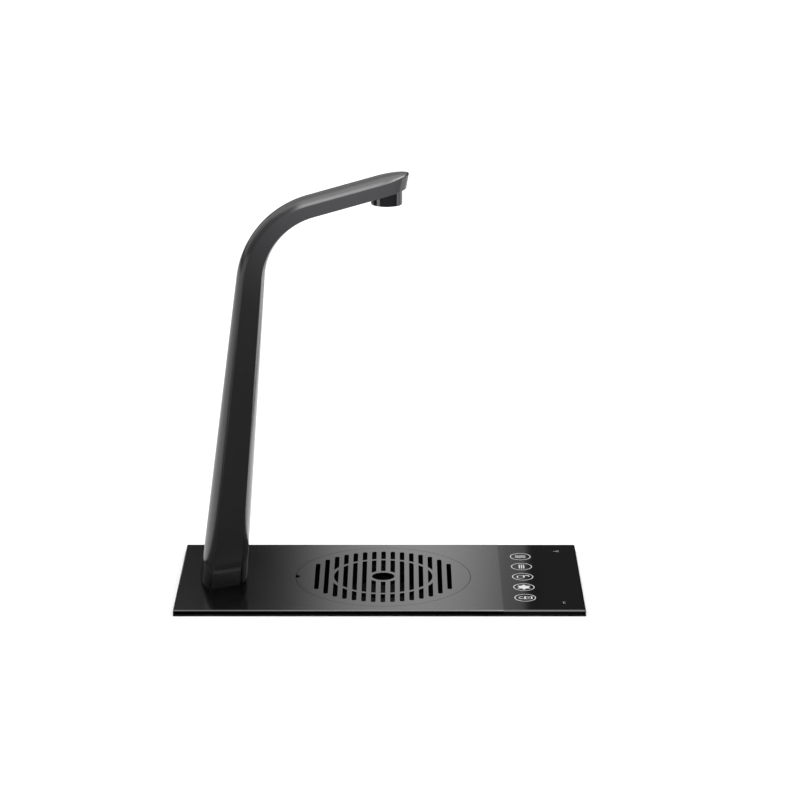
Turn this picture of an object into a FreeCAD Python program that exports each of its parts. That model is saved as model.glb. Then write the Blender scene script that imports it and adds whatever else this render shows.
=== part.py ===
"""Boiling water tap: a leaning column and spout on a black worktop plate with a
lift-out drip grille, and a glass touch panel beside it.

Millimetres. The origin is the centre of the plate's footprint on the worktop,
+X runs from the tap towards the touch panel, +Y to the back and +Z up, so the
worktop's top is z = 0 and what hangs through its cut-out is below zero.
"""
import FreeCAD, Part
import math
import os
import re
import Sketcher

os.makedirs("parts", exist_ok=True)
doc = FreeCAD.newDocument("BoilingWaterTap")
Vector = FreeCAD.Vector

# ---------------------------------------------------------------- sizes
SIZES = {
    # plate on the worktop
    "deck_length": 310.0,
    "deck_depth": 153.4,
    "frame_thickness": 1.5,
    "plate_thickness": 3.3,
    "plate_bevel": 0.8,
    "glass_width": 61.7,
    "glass_bevel": 1.0,
    "glass_joint": 0.12,
    "seal_width": 1.8,
    "seal_depth": 0.8,
    "seal_edge": 1.0,
    "fit_clearance": 0.1,
    # drip grille and bowl
    "grille_x": 2.4,
    "grille_diameter": 135.0,
    "grille_gap": 0.35,
    "grille_thickness": 3.0,
    "slot_pitch": 7.3,
    "slot_width": 3.6,
    "slot_margin": 8.5,
    "ring_diameter": 82.0,
    "ring_width": 2.9,
    "hub_diameter": 24.8,
    "hub_bore": 17.5,
    "notch_radius": 3.0,
    "pad_radius": 2.5,
    "pad_inset": 3.9,
    "bowl_wall": 0.7,
    "bowl_flange": 2.6,
    "bowl_seal_thickness": 0.3,
    "bowl_ledge": 7.0,
    "bowl_depth": 30.0,
    "bowl_slope": 7.0,
    "sump_radius": 24.0,
    "sump_depth": 4.0,
    "drain_radius": 19.0,
    "strainer_thickness": 1.5,
    "strainer_hole": 2.2,
    "waste_seal_thickness": 2.0,
    "waste_flange": 2.5,
    "waste_funnel": 9.0,
    "tail_radius": 12.5,
    "tail_wall": 2.5,
    "tail_length": 28.0,
    "boss_radius": 5.0,
    "drain_screw_radius": 2.5,
    # tap column and spout
    "foot_inset": 33.9,
    "foot_width": 35.8,
    "foot_half_depth": 29.5,
    "foot_inner_half_depth": 19.5,
    "foot_crown": 9.0,
    "foot_inner_crown": 4.3,
    "bend_offset": 86.9,
    "bend_height": 233.0,
    "bend_outer_low": 74.1,
    "bend_outer_high": 70.9,
    "bend_inner_low": 52.1,
    "bend_inner_high": 54.5,
    "spout_half_depth": 14.0,
    "neck_half_depth": 14.4,
    "neck_crown": 6.3,
    "neck_inner_crown": 2.1,
    "spout_crown": 5.1,
    "spout_inner_crown": 1.7,
    "spout_rise": 15.9,
    "spout_reach": 53.4,
    "tip_length": 23.9,
    "tip_lean": 26.0,
    "bend_lead": 5.0,
    "crease_radius": 2.0,
    "body_wall": 2.5,
    "foot_floor": 12.0,
    "cavity_reach": 40.0,
    # outlet
    "outlet_offset": 126.5,
    "outlet_radius": 11.9,
    "outlet_rise": 61.6,
    "outlet_length": 11.9,
    "outlet_neck_radius": 8.0,
    "outlet_neck_length": 5.0,
    "outlet_bore": 6.0,
    "insert_radius": 9.5,
    "insert_thickness": 5.5,
    "insert_recess": 0.8,
    "outlet_ring_inner": 9.3,
    "outlet_ring_outer": 10.7,
    "outlet_ring_height": 1.4,
    "insert_hole": 1.25,
    "insert_pitch": 3.7,
    "chamber_height": 1.5,
    # water tubes, shank and fixings under the worktop
    "tube_radius": 3.175,
    "tube_wall": 1.0,
    "tube_gap": 0.45,
    "shank_radius": 13.5,
    "shank_bore": 11.0,
    "shank_spare": 3.0,
    "worktop": 30.0,
    "foot_ring_inner": 14.4,
    "foot_ring_outer": 16.6,
    "foot_ring_height": 1.2,
    "rubber_washer": 3.0,
    "steel_washer": 2.0,
    "washer_radius": 24.0,
    "nut_flats": 38.0,
    "nut_height": 9.0,
    "inlet_radius": 20.0,
    "inlet_socket": 8.0,
    "inlet_floor": 12.0,
    "port_radius": 4.1,
    "port_wall": 2.6,
    "port_length": 13.0,
    "port_shift": 10.5,
    "port_spread": 12.5,
    "passage_radius": 2.2,
    "stud_radius": 3.0,
    "stud_spare": 12.0,
    "stud_left_inset": 63.0,
    "stud_right_inset": 71.0,
    "stud_edge_inset": 17.0,
    "claw_length": 34.0,
    "claw_width": 14.0,
    "claw_thickness": 3.0,
    "claw_toe": 2.0,
    "wing_height": 6.0,
    "wing_span": 24.0,
    # touch panel electronics
    "window_inset": 34.0,
    "window_width": 49.0,
    "window_edge_inset": 12.0,
    "housing_wall": 2.0,
    "housing_margin": 5.0,
    "housing_depth": 24.0,
    "housing_seal_thickness": 0.5,
    "board_thickness": 1.6,
    "button_inset": 44.1,
    "button_y": -2.0,
    "button_pitch": 24.1,
    "button_well": 7.6,
    "light_size": 1.6,
    "light_height": 0.7,
    "post_radius": 3.0,
    "socket_width": 15.5,
    "socket_depth": 13.0,
    "socket_opening_width": 11.7,
    "socket_opening_depth": 8.0,
    "socket_cavity": 14.0,
    "socket_y": 40.0,
    "screw_radius": 1.5,
    "screw_head_radius": 2.8,
    "screw_head_height": 1.4,
}

# Places worked out from the sizes, by the names that the expressions use for them.
PLACES = {
    "foot_x": "(foot_inset - deck_length / 2)",
    "bend_x": "(foot_inset - deck_length / 2 + bend_offset)",
    "outlet_x": "(foot_inset - deck_length / 2 + outlet_offset)",
    "outlet_bottom": "(frame_thickness + plate_thickness + bend_height + outlet_rise)",
    "outlet_top": "(frame_thickness + plate_thickness + bend_height + outlet_rise + outlet_length)",
    "tube_spacing": "(2 * tube_radius + tube_gap)",
    "slot_field": "(grille_diameter - 2 * slot_margin)",
    "stud_left_x": "(stud_left_inset - deck_length / 2)",
    "stud_x": "(deck_length / 2 - stud_right_inset)",
    "stud_y": "(deck_depth / 2 - stud_edge_inset)",
    "window_x": "(deck_length / 2 - window_inset)",
    "window_depth": "(deck_depth - 2 * window_edge_inset)",
    "button_x": "(deck_length / 2 - button_inset)",
}

sheet = doc.addObject("Spreadsheet::Sheet", "Sizes")
for row, (alias, value) in enumerate(SIZES.items(), start=1):
    sheet.set(f"A{row}", alias.replace("_", " "))
    sheet.set(f"B{row}", str(value))
    sheet.setAlias(f"B{row}", alias)
doc.recompute()


def sized(text):
    """An expression in which every place is written out and every size's name points
    at its cell of the sheet."""
    words = r"[a-z][a-z_0-9]*"
    full = re.sub(words, lambda found: PLACES.get(found[0], found[0]), str(text))
    return re.sub(words, lambda found: "Sizes." + found[0] if found[0] in SIZES else found[0], full)


def value_of(text):
    """The number that such an expression gives now."""
    result = sheet.evalExpression(sized(text))
    return float(getattr(result, "Value", result))


# ---------------------------------------------------------------- solids from primitives
def bind(thing, **values):
    for name, text in values.items():
        thing.setExpression(name.replace("__", "."), sized(text))
    return thing


def block(label, x, y, z):
    """A box between two expressions along each axis."""
    thing = doc.addObject("Part::Box", label)
    thing.Label = label
    for axis, side, (low, high) in zip("xyz", ("Length", "Width", "Height"), (x, y, z)):
        thing.setExpression(f"Placement.Base.{axis}", sized(low))
        thing.setExpression(side, sized(f"({high}) - ({low})"))
    return thing


def rod(label, x, y, z, radius):
    """An upright cylinder from one height to another."""
    thing = doc.addObject("Part::Cylinder", label)
    thing.Label = label
    low, high = z
    return bind(thing, Placement__Base__x=x, Placement__Base__y=y, Placement__Base__z=low,
                Radius=radius, Height=f"({high}) - ({low})")


def taper(label, x, y, z, low_radius, high_radius):
    thing = doc.addObject("Part::Cone", label)
    thing.Label = label
    low, high = z
    return bind(thing, Placement__Base__x=x, Placement__Base__y=y, Placement__Base__z=low,
                Radius1=low_radius, Radius2=high_radius, Height=f"({high}) - ({low})")


def ring(label, x, y, z, inner, outer):
    """An upright tube: a cylinder with a hole through it."""
    disc = rod(label + "_disc", x, y, z, outer)
    hole = rod(label + "_hole", x, y, (f"({z[0]}) - 1", f"({z[1]}) + 1"), inner)
    return cut(label, disc, [hole])


def fuse(label, pieces):
    thing = doc.addObject("Part::MultiFuse", label)
    thing.Label = label
    thing.Shapes = pieces
    return thing


def group(label, pieces):
    """Like pieces that stay separate solids in one node."""
    thing = doc.addObject("Part::Compound", label)
    thing.Label = label
    thing.Links = pieces
    return thing


def cut(label, base, tools):
    thing = doc.addObject("Part::Cut", label)
    thing.Label = label
    thing.Base = base
    thing.Tool = tools[0] if len(tools) == 1 else fuse(label + "_tools", tools)
    return thing


# ---------------------------------------------------------------- sketched bodies
def new_body(label):
    body = doc.addObject("PartDesign::Body", label)
    body.Label = label
    return body


def sketch_on(body, name, plane="XY_Plane", **offset):
    """A sketch on one of the body's own origin planes, moved off it by expressions."""
    sketch = body.newObject("Sketcher::SketchObject", name)
    support = next(f for f in body.Origin.OriginFeatures if f.Role == plane)
    sketch.AttachmentSupport = [(support, "")]
    sketch.MapMode = "FlatFace"
    for key, text in offset.items():
        sketch.setExpression("AttachmentOffset.Base." + key, sized(text))
    return sketch


def pin_point(sketch, geometry, end, x, y):
    """Holds one end or centre of a curve at a place given by two expressions."""
    for kind, text in (("DistanceX", x), ("DistanceY", y)):
        number = sketch.addConstraint(
            Sketcher.Constraint(kind, -1, 1, geometry, end, value_of(text)))
        sketch.setExpression(f"Constraints[{number}]", sized(text))


def circle(sketch, x, y, radius):
    place = Vector(value_of(x), value_of(y), 0)
    number = sketch.addGeometry(Part.Circle(place, Vector(0, 0, 1), value_of(radius)))
    pin_point(sketch, number, 3, x, y)
    held = sketch.addConstraint(Sketcher.Constraint("Radius", number, value_of(radius)))
    sketch.setExpression(f"Constraints[{held}]", sized(radius))


def outline(sketch, points):
    """A closed outline of straight lines through points given as expressions."""
    places = [Vector(value_of(x), value_of(y), 0) for x, y in points]
    first = None
    for index, place in enumerate(places):
        line = Part.LineSegment(place, places[(index + 1) % len(places)])
        number = sketch.addGeometry(line)
        first = number if first is None else first
        if index:
            sketch.addConstraint(Sketcher.Constraint("Coincident", number - 1, 2, number, 1))
    sketch.addConstraint(Sketcher.Constraint("Coincident", number, 2, first, 1))
    for index, (x, y) in enumerate(points):
        pin_point(sketch, first + index, 1, x, y)


def rectangle(sketch, x, y):
    outline(sketch, [(x[0], y[0]), (x[1], y[0]), (x[1], y[1]), (x[0], y[1])])


def slot(sketch, x, half_length, radius):
    """A slot along Y with round ends, its length counted to the ends' tops."""
    reach = value_of(half_length) - value_of(radius)
    across, wide = value_of(x), value_of(radius)
    up = Vector(0, 0, 1)
    ends = []
    for side in (1, -1):
        full = Part.Circle(Vector(across, side * reach, 0), up, wide)
        start = 0 if side > 0 else math.pi
        ends.append(sketch.addGeometry(Part.ArcOfCircle(full, start, start + math.pi)))
        pin_point(sketch, ends[-1], 3, x, f"{side} * (({half_length}) - ({radius}))")
        pin_point(sketch, ends[-1], 1, f"({x}) + {side} * ({radius})",
                  f"{side} * (({half_length}) - ({radius}))")
        sketch.addConstraint(Sketcher.Constraint("Horizontal", ends[-1], 1, ends[-1], 2))
    top, bottom = ends
    for side, start, finish in ((-1, (top, 2), (bottom, 1)), (1, (bottom, 2), (top, 1))):
        edge = across + side * wide
        line = sketch.addGeometry(Part.LineSegment(Vector(edge, -side * reach, 0),
                                                   Vector(edge, side * reach, 0)))
        sketch.addConstraint(Sketcher.Constraint("Coincident", line, 1, *start))
        sketch.addConstraint(Sketcher.Constraint("Coincident", line, 2, *finish))


def pad(body, sketch, length):
    feature = body.newObject("PartDesign::Pad", sketch.Name + "_pad")
    feature.Profile = sketch
    feature.setExpression("Length", sized(length))
    return feature


def pocket(body, sketch, depth=None, upward=False):
    """Cuts down from the sketch, or up, or right through where no depth is given."""
    feature = body.newObject("PartDesign::Pocket", sketch.Name + "_pocket")
    feature.Profile = sketch
    if depth is None:
        feature.Type = "ThroughAll"
        feature.Midplane = True
    else:
        feature.setExpression("Length", sized(depth))
        feature.Reversed = upward
    return feature


def revolve(body, sketch):
    feature = body.newObject("PartDesign::Revolution", sketch.Name + "_turned")
    feature.Profile = sketch
    feature.ReferenceAxis = (sketch, ["V_Axis"])
    feature.Angle = 360
    return feature


# ---------------------------------------------------------------- shared places
DECK_TOP = "(frame_thickness + plate_thickness)"
RIGHT = "(deck_length / 2)"
LEFT = "(-deck_length / 2)"
BACK = "(deck_depth / 2)"
FRONT = "(-deck_depth / 2)"
GLASS_LEFT = "(deck_length / 2 - glass_width)"
GRILLE_RADIUS = "(grille_diameter / 2)"
GRILLE_HOLE = "(grille_diameter / 2 + grille_gap)"
FLANGE_RADIUS = "(grille_diameter / 2 + grille_gap + bowl_flange)"
BOWL_RADIUS = "(grille_diameter / 2 + grille_gap - bowl_ledge)"
FLANGE_TOP = "(frame_thickness - bowl_seal_thickness)"
GRILLE_BOTTOM = "(frame_thickness + plate_thickness - grille_thickness)"
WINDOW_X = ("(window_x - window_width / 2)", "(window_x + window_width / 2)")
WINDOW_Y = ("(-window_depth / 2)", "(window_depth / 2)")
FOOT = DECK_TOP


def deck_screw_places():
    """Six screws clear of the bowl, the shank and the touch panel's window."""
    rows = ("-deck_depth / 2 + 3 * screw_head_radius", "deck_depth / 2 - 3 * screw_head_radius")
    columns = ("-deck_length / 2 + 4 * screw_head_radius", "foot_x + 2 * foot_width",
               "deck_length / 2 - glass_width - 2.5 * screw_head_radius")
    return [(x, y) for x in columns for y in rows]


def stud_places():
    return [(x, f"{side} * stud_y") for x in ("stud_left_x", "stud_x") for side in (-1, 1)]


# ---------------------------------------------------------------- plate on the worktop
def base_frame():
    """Thin black frame under the whole plate, with a groove for the worktop seal."""
    body = new_body("base_frame")
    footprint = sketch_on(body, "frame_outline")
    rectangle(footprint, (LEFT, RIGHT), (FRONT, BACK))
    pad(body, footprint, "frame_thickness")
    holes = sketch_on(body, "frame_holes")
    circle(holes, "grille_x", "0", f"{FLANGE_RADIUS} - 1.5 * bowl_flange")
    circle(holes, "foot_x", "0", "shank_radius + fit_clearance")
    rectangle(holes, WINDOW_X, WINDOW_Y)
    for x, y in deck_screw_places():
        circle(holes, x, y, "screw_radius + fit_clearance")
    pocket(body, holes)
    bowl_seat = sketch_on(body, "frame_bowl_seat", z="frame_thickness")
    circle(bowl_seat, "grille_x", "0", f"{FLANGE_RADIUS} + fit_clearance")
    pocket(body, bowl_seat, "bowl_wall + bowl_seal_thickness")
    groove = sketch_on(body, "frame_groove")
    for inset in ("seal_edge", "seal_edge + seal_width"):
        rectangle(groove, (f"{LEFT} + {inset}", f"{RIGHT} - ({inset})"),
                  (f"{FRONT} + {inset}", f"{BACK} - ({inset})"))
    pocket(body, groove, "seal_depth", upward=True)
    return cut_countersinks(body)


def cut_countersinks(body):
    body.Label = "frame_blank"
    sinks = [taper(f"countersink_{n}", x, y, ("0", "screw_head_height"),
                   "screw_head_radius + fit_clearance", "screw_radius + fit_clearance")
             for n, (x, y) in enumerate(deck_screw_places())]
    return cut("base_frame", body, sinks)


def worktop_seal():
    """Soft strip in the frame's groove, flush with the worktop."""
    body = new_body("worktop_seal")
    strip = sketch_on(body, "seal_outline")
    for inset in ("seal_edge + fit_clearance", "seal_edge + seal_width - fit_clearance"):
        rectangle(strip, (f"{LEFT} + {inset}", f"{RIGHT} - ({inset})"),
                  (f"{FRONT} + {inset}", f"{BACK} - ({inset})"))
    pad(body, strip, "seal_depth")
    return body


def bevelled_slab(body, name, x, y, z, thickness, bevel):
    """A slab whose upper edges are bevelled on the sides that the four flags name."""
    outline_sketch = sketch_on(body, name, z=z)
    rectangle(outline_sketch, x, y)
    slab = pad(body, outline_sketch, thickness)
    doc.recompute()
    top = value_of(z) + value_of(thickness)
    edges = [f"Edge{n}" for n, edge in enumerate(slab.Shape.Edges, start=1)
             if abs(edge.BoundBox.ZMin - top) < 1e-6]
    chamfer = body.newObject("PartDesign::Chamfer", name + "_bevel")
    chamfer.Base = (slab, edges)
    chamfer.setExpression("Size", sized(bevel))
    body.Tip = chamfer
    return body


def deck_plate():
    """Satin black metal plate with the grille's opening, its upper edges bevelled bright."""
    body = new_body("deck_plate")
    bevelled_slab(body, "plate_outline", (LEFT, f"{GLASS_LEFT} - glass_joint"), (FRONT, BACK),
                  "frame_thickness", "plate_thickness", "plate_bevel")
    holes = sketch_on(body, "plate_holes", z="frame_thickness")
    circle(holes, "grille_x", "0", GRILLE_HOLE)
    circle(holes, "foot_x", "0", "shank_radius + fit_clearance")
    pocket(body, holes)
    taps = sketch_on(body, "plate_tapped_holes", z="frame_thickness")
    for x, y in deck_screw_places():
        circle(taps, x, y, "screw_radius + fit_clearance / 2")
    pocket(body, taps, "plate_thickness * 0.7", upward=True)
    return body


def plate_screws():
    """Countersunk screws that hold the plate to its frame from below."""
    screws = []
    for n, (x, y) in enumerate(deck_screw_places()):
        head = taper(f"plate_screw_head_{n}", x, y, ("0", "screw_head_height"),
                     "screw_head_radius", "screw_radius")
        shaft = rod(f"plate_screw_shaft_{n}", x, y,
                    ("0", "frame_thickness + plate_thickness * 0.6"), "screw_radius")
        screws.append(fuse(f"plate_screw_{n}", [head, shaft]))
    return group("plate_screws", screws)


def touch_glass():
    """Glossy black glass that the touch buttons are printed on."""
    body = new_body("touch_glass")
    return bevelled_slab(body, "glass_outline", (GLASS_LEFT, RIGHT), (FRONT, BACK),
                         "frame_thickness", "plate_thickness", "glass_bevel")


# ---------------------------------------------------------------- drip grille and bowl
def drip_grille():
    """Flush round grille: parallel slots crossed by a ring, round a hub."""
    body = new_body("drip_grille")
    disc = sketch_on(body, "grille_disc", z=GRILLE_BOTTOM)
    circle(disc, "grille_x", "0", GRILLE_RADIUS)
    pad(body, disc, "grille_thickness")
    slots = sketch_on(body, "grille_slots", x="grille_x", z=DECK_TOP)
    count = int((value_of("slot_field") / 2 - value_of("slot_width")) / value_of("slot_pitch"))
    for place in range(-count, count + 1):
        across = f"{place} * slot_pitch"
        slot(slots, across, f"sqrt((slot_field / 2)^2 - ({across})^2)", "slot_width / 2")
    pocket(body, slots)
    rings = sketch_on(body, "grille_ring", x="grille_x", z=GRILLE_BOTTOM)
    circle(rings, "0", "0", "ring_diameter / 2")
    circle(rings, "0", "0", "ring_diameter / 2 - ring_width")
    pad(body, rings, "grille_thickness")
    hub = sketch_on(body, "grille_hub", x="grille_x", z=GRILLE_BOTTOM)
    circle(hub, "0", "0", "hub_diameter / 2")
    pad(body, hub, "grille_thickness")
    openings = sketch_on(body, "grille_openings", x="grille_x", z=DECK_TOP)
    circle(openings, "0", "0", "hub_bore / 2")
    circle(openings, f"-{GRILLE_RADIUS}", "0", "notch_radius")
    pocket(body, openings)
    return body


def pad_places():
    """Four pads under the grille's rim, between the notch and the slots."""
    reach = f"({GRILLE_RADIUS} - pad_inset)"
    return [(f"grille_x + {reach} * cos({angle} deg)", f"{reach} * sin({angle} deg)")
            for angle in (45, 135, 225, 315)]


def grille_pads():
    """Rubber pads that the grille rests on."""
    pads = [rod(f"grille_pad_{n}", x, y, (FLANGE_TOP, GRILLE_BOTTOM), "pad_radius")
            for n, (x, y) in enumerate(pad_places())]
    return group("grille_pads", pads)


def drip_bowl():
    """Pressed steel bowl that hangs from its flange and falls to a sump."""
    body = new_body("drip_bowl")
    section = sketch_on(body, "bowl_section", plane="XZ_Plane", x="grille_x")
    floor = f"({FLANGE_TOP} - bowl_depth)"
    sump = f"({floor} - sump_depth)"
    outline(section, [
        (FLANGE_RADIUS, FLANGE_TOP),
        (BOWL_RADIUS, FLANGE_TOP),
        (BOWL_RADIUS, f"{floor} + bowl_slope"),
        ("sump_radius + bowl_wall", floor),
        ("sump_radius + bowl_wall", sump),
        ("drain_radius", sump),
        ("drain_radius", f"{sump} - bowl_wall"),
        ("sump_radius + 2 * bowl_wall", f"{sump} - bowl_wall"),
        ("sump_radius + 2 * bowl_wall", f"{floor} - bowl_wall"),
        (f"{BOWL_RADIUS} + bowl_wall", f"{floor} + bowl_slope - bowl_wall"),
        (f"{BOWL_RADIUS} + bowl_wall", f"{FLANGE_TOP} - bowl_wall"),
        (FLANGE_RADIUS, f"{FLANGE_TOP} - bowl_wall")])
    revolve(body, section)
    return body


def bowl_seal():
    """Flat ring between the bowl's flange and the plate."""
    return ring("bowl_seal", "grille_x", "0", (FLANGE_TOP, "frame_thickness"), GRILLE_HOLE,
                FLANGE_RADIUS)


SUMP_FLOOR = f"({FLANGE_TOP} - bowl_depth - sump_depth)"
WASTE_TOP = f"({SUMP_FLOOR} - bowl_wall - waste_seal_thickness)"


def drain_strainer():
    """Perforated disc over the drain hole, on the sump's floor."""
    body = new_body("drain_strainer")
    disc = sketch_on(body, "strainer_disc", x="grille_x", z=SUMP_FLOOR)
    circle(disc, "0", "0", "sump_radius - bowl_wall")
    pad(body, disc, "strainer_thickness")
    holes = sketch_on(body, "strainer_holes", x="grille_x", z=SUMP_FLOOR)
    circle(holes, "0", "0", "drain_screw_radius + fit_clearance")
    for number in range(8):
        angle = f"{number * 45} deg"
        circle(holes, f"0.7 * drain_radius * cos({angle})", f"0.7 * drain_radius * sin({angle})",
               "strainer_hole")
    pocket(body, holes)
    return body


def drain_screw():
    """Long screw that clamps the strainer, the bowl and the waste together."""
    head = rod("drain_screw_head", "grille_x", "0",
               (f"{SUMP_FLOOR} + strainer_thickness", f"{SUMP_FLOOR} + 2.6 * strainer_thickness"),
               "2 * drain_screw_radius")
    shaft = rod("drain_screw_shaft", "grille_x", "0",
                (f"{WASTE_TOP} - waste_funnel", f"{SUMP_FLOOR} + 2 * strainer_thickness"),
                "drain_screw_radius")
    slot_cut = block("drain_screw_slot", ("grille_x - 0.4", "grille_x + 0.4"),
                     ("-3 * drain_screw_radius", "3 * drain_screw_radius"),
                     (f"{SUMP_FLOOR} + 2.1 * strainer_thickness", f"{SUMP_FLOOR} + 3 * strainer_thickness"))
    return cut("drain_screw", fuse("drain_screw_blank", [head, shaft]), [slot_cut])


def drain_seal():
    """Rubber ring between the bowl and the waste."""
    return ring("drain_seal", "grille_x", "0", (WASTE_TOP, f"{SUMP_FLOOR} - bowl_wall"),
                "drain_radius", "sump_radius")


def waste_tail():
    """Moulded waste: a flange and funnel down to a ribbed hose tail."""
    body = new_body("waste_body")
    section = sketch_on(body, "waste_section", plane="XZ_Plane", x="grille_x")
    flange = f"({WASTE_TOP} - waste_flange)"
    neck = f"({flange} - waste_funnel)"
    end = f"({neck} - tail_length)"
    points = [
        ("drain_radius", WASTE_TOP),
        ("sump_radius", WASTE_TOP),
        ("sump_radius", flange),
        ("drain_radius + tail_wall", flange),
        ("tail_radius", neck)]
    for ridge in (1, 2, 3):
        height = f"({neck} - tail_length * {0.15 + 0.2 * ridge})"
        points += [("tail_radius", f"{height} + tail_wall"), ("tail_radius + 1", height),
                   ("tail_radius", height)]
    points += [
        ("tail_radius", end),
        ("tail_radius - tail_wall", end),
        ("tail_radius - tail_wall", neck),
        ("drain_radius", flange)]
    outline(section, points)
    revolve(body, section)
    boss = rod("waste_boss", "grille_x", "0", (neck, f"{WASTE_TOP} - waste_flange / 2"),
               "boss_radius")
    ribs = []
    for number in range(3):
        rib = block(f"waste_rib_{number}", ("0", "drain_radius + tail_wall / 2"),
                    ("-tail_wall / 4", "tail_wall / 4"), ("0", "waste_flange"))
        rib.Placement.Rotation = FreeCAD.Rotation(Vector(0, 0, 1), 120 * number)
        turn = f"{120 * number} deg"
        bind(rib, Placement__Base__x=f"grille_x + tail_wall / 4 * sin({turn})",
             Placement__Base__y=f"-tail_wall / 4 * cos({turn})",
             Placement__Base__z=flange)
        ribs.append(rib)
    bore = rod("waste_boss_bore", "grille_x", "0", (f"{neck} - 1", WASTE_TOP),
               "drain_screw_radius + fit_clearance / 2")
    return cut("waste_tail", fuse("waste_blank", [body, boss] + ribs), [bore])


# ---------------------------------------------------------------- tap column and spout
def tap_section(body, name, outer, inner, half_depth, inner_half_depth, crown, inner_crown, corner):
    """One cross-section: two flat sides joined by an outer and an inner crown.

    In the sketch, x runs from the outside of the bend to its inside, so the outer
    crown's top is at -outer and the inner crown's at -inner. The outer crown meets
    the flats in a small round, the inner one in a sharp edge, and the flats may
    draw together from the outer half depth to the inner one.
    """
    sketch = body.newObject("Sketcher::SketchObject", name)
    support = next(f for f in body.Origin.OriginFeatures if f.Role == "XY_Plane")
    sketch.AttachmentSupport = [(support, "")]
    sketch.MapMode = "FlatFace"
    up = Vector(0, 0, 1)
    wide, narrow, radius = value_of(half_depth), value_of(inner_half_depth), value_of(corner)
    outer_round = f"((({half_depth})^2 + ({crown})^2) / (2 * ({crown})))"
    inner_round = f"((({inner_half_depth})^2 + ({inner_crown})^2) / (2 * ({inner_crown})))"
    outer_centre = f"(-({outer}) + {outer_round})"
    inner_centre = f"(-({inner}) - {inner_round})"
    big, small = value_of(outer_round), value_of(inner_round)
    big_x, small_x = value_of(outer_centre), value_of(inner_centre)
    corner_x = big_x - math.sqrt((big - radius) ** 2 - (wide - radius) ** 2)
    edge_x = small_x + math.sqrt(small ** 2 - narrow ** 2)
    swing = math.atan2(wide - radius, corner_x - big_x)
    reach = math.atan2(narrow, edge_x - small_x)
    across, down = edge_x - corner_x, narrow - (wide - radius)
    touch = math.atan2(down, across) + math.acos(radius / math.hypot(across, down))
    flat_x, flat_y = corner_x + radius * math.cos(touch), wide - radius + radius * math.sin(touch)
    crown_arc = Part.ArcOfCircle(Part.Circle(Vector(big_x, 0, 0), up, big), swing, 2 * math.pi - swing)
    inner_arc = Part.ArcOfCircle(Part.Circle(Vector(small_x, 0, 0), up, small), -reach, reach)
    upper = Part.ArcOfCircle(Part.Circle(Vector(corner_x, wide - radius, 0), up, radius),
                             touch, swing)
    lower = Part.ArcOfCircle(Part.Circle(Vector(corner_x, radius - wide, 0), up, radius),
                             2 * math.pi - swing, 2 * math.pi - touch)
    upper_flat = Part.LineSegment(Vector(edge_x, narrow, 0), Vector(flat_x, flat_y, 0))
    lower_flat = Part.LineSegment(Vector(flat_x, -flat_y, 0), Vector(edge_x, -narrow, 0))
    sketch.addGeometry([upper_flat, upper, crown_arc, lower, lower_flat, inner_arc])
    joins = [("Coincident", 5, 2, 0, 1), ("Tangent", 0, 2, 1, 1), ("Tangent", 1, 2, 2, 1),
             ("Tangent", 2, 2, 3, 1), ("Tangent", 3, 2, 4, 1), ("Coincident", 4, 2, 5, 1),
             ("Equal", 1, 3)]
    for join in joins:
        sketch.addConstraint(Sketcher.Constraint(*join))
    pin_point(sketch, 2, 3, outer_centre, "0")
    pin_point(sketch, 5, 3, inner_centre, "0")
    corner_depth = f"({half_depth}) - ({corner})"
    sizes = [("Radius", (2,), outer_round), ("Radius", (5,), inner_round), ("Radius", (1,), corner),
             ("DistanceY", (-1, 1, 0, 1), inner_half_depth), ("DistanceY", (4, 2, -1, 1), inner_half_depth),
             ("DistanceY", (-1, 1, 1, 3), corner_depth), ("DistanceY", (3, 3, -1, 1), corner_depth)]
    for kind, where, text in sizes:
        number = sketch.addConstraint(Sketcher.Constraint(kind, *where, value_of(text)))
        sketch.setExpression(f"Constraints[{number}]", sized(text))
    return sketch


def place_section(sketch, x, z, turn):
    """Stands a section up at a place in the tap's plane, turned about Y."""
    sketch.AttachmentOffset = FreeCAD.Placement(
        Vector(value_of(x), 0, value_of(z)), FreeCAD.Rotation(Vector(0, 1, 0), value_of(turn)))
    sketch.setExpression("AttachmentOffset.Base.x", sized(x))
    sketch.setExpression("AttachmentOffset.Base.z", sized(z))
    sketch.setExpression("AttachmentOffset.Rotation.Angle", sized(turn))


def mix(low, high, share):
    return f"(({low}) + (({high}) - ({low})) * ({share}))"


BEND_Z = f"({FOOT} + bend_height)"
FULL_TURN = "(90 - spout_rise)"
BEND_STEPS = 8
TIP_ANGLES = (17, 33, 48, 61, 72, 80, 86)


def bend_section(body, name, step, inset, along="0"):
    """A section on the bend, or past its end along the spout.

    step counts round the bend, inset is how far in from the outside the section
    lies, and along is the way up the spout.
    """
    share = step / BEND_STEPS
    turn = mix("bend_lead", FULL_TURN, share)
    swing = f"(sin({turn} * 1 deg) / sin({FULL_TURN} * 1 deg))"
    side = mix("neck_half_depth", "spout_half_depth", share)
    depth = f"({side} - {inset})"
    ratio = f"({depth} / {side})"
    outer = f"({mix('bend_outer_low', 'bend_outer_high', swing)} - {inset})"
    inner = f"({mix('bend_inner_low', 'bend_inner_high', swing)} + {inset})"
    section = tap_section(body, name, outer, inner, depth, depth,
                          f"{mix('neck_crown', 'spout_crown', share)} * {ratio}",
                          f"{mix('neck_inner_crown', 'spout_inner_crown', share)} * {ratio}",
                          f"crease_radius * {ratio}")
    place_section(section, f"bend_x + ({along}) * cos(spout_rise * 1 deg)",
                  f"{BEND_Z} + ({along}) * sin(spout_rise * 1 deg)", turn)
    return section


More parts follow.
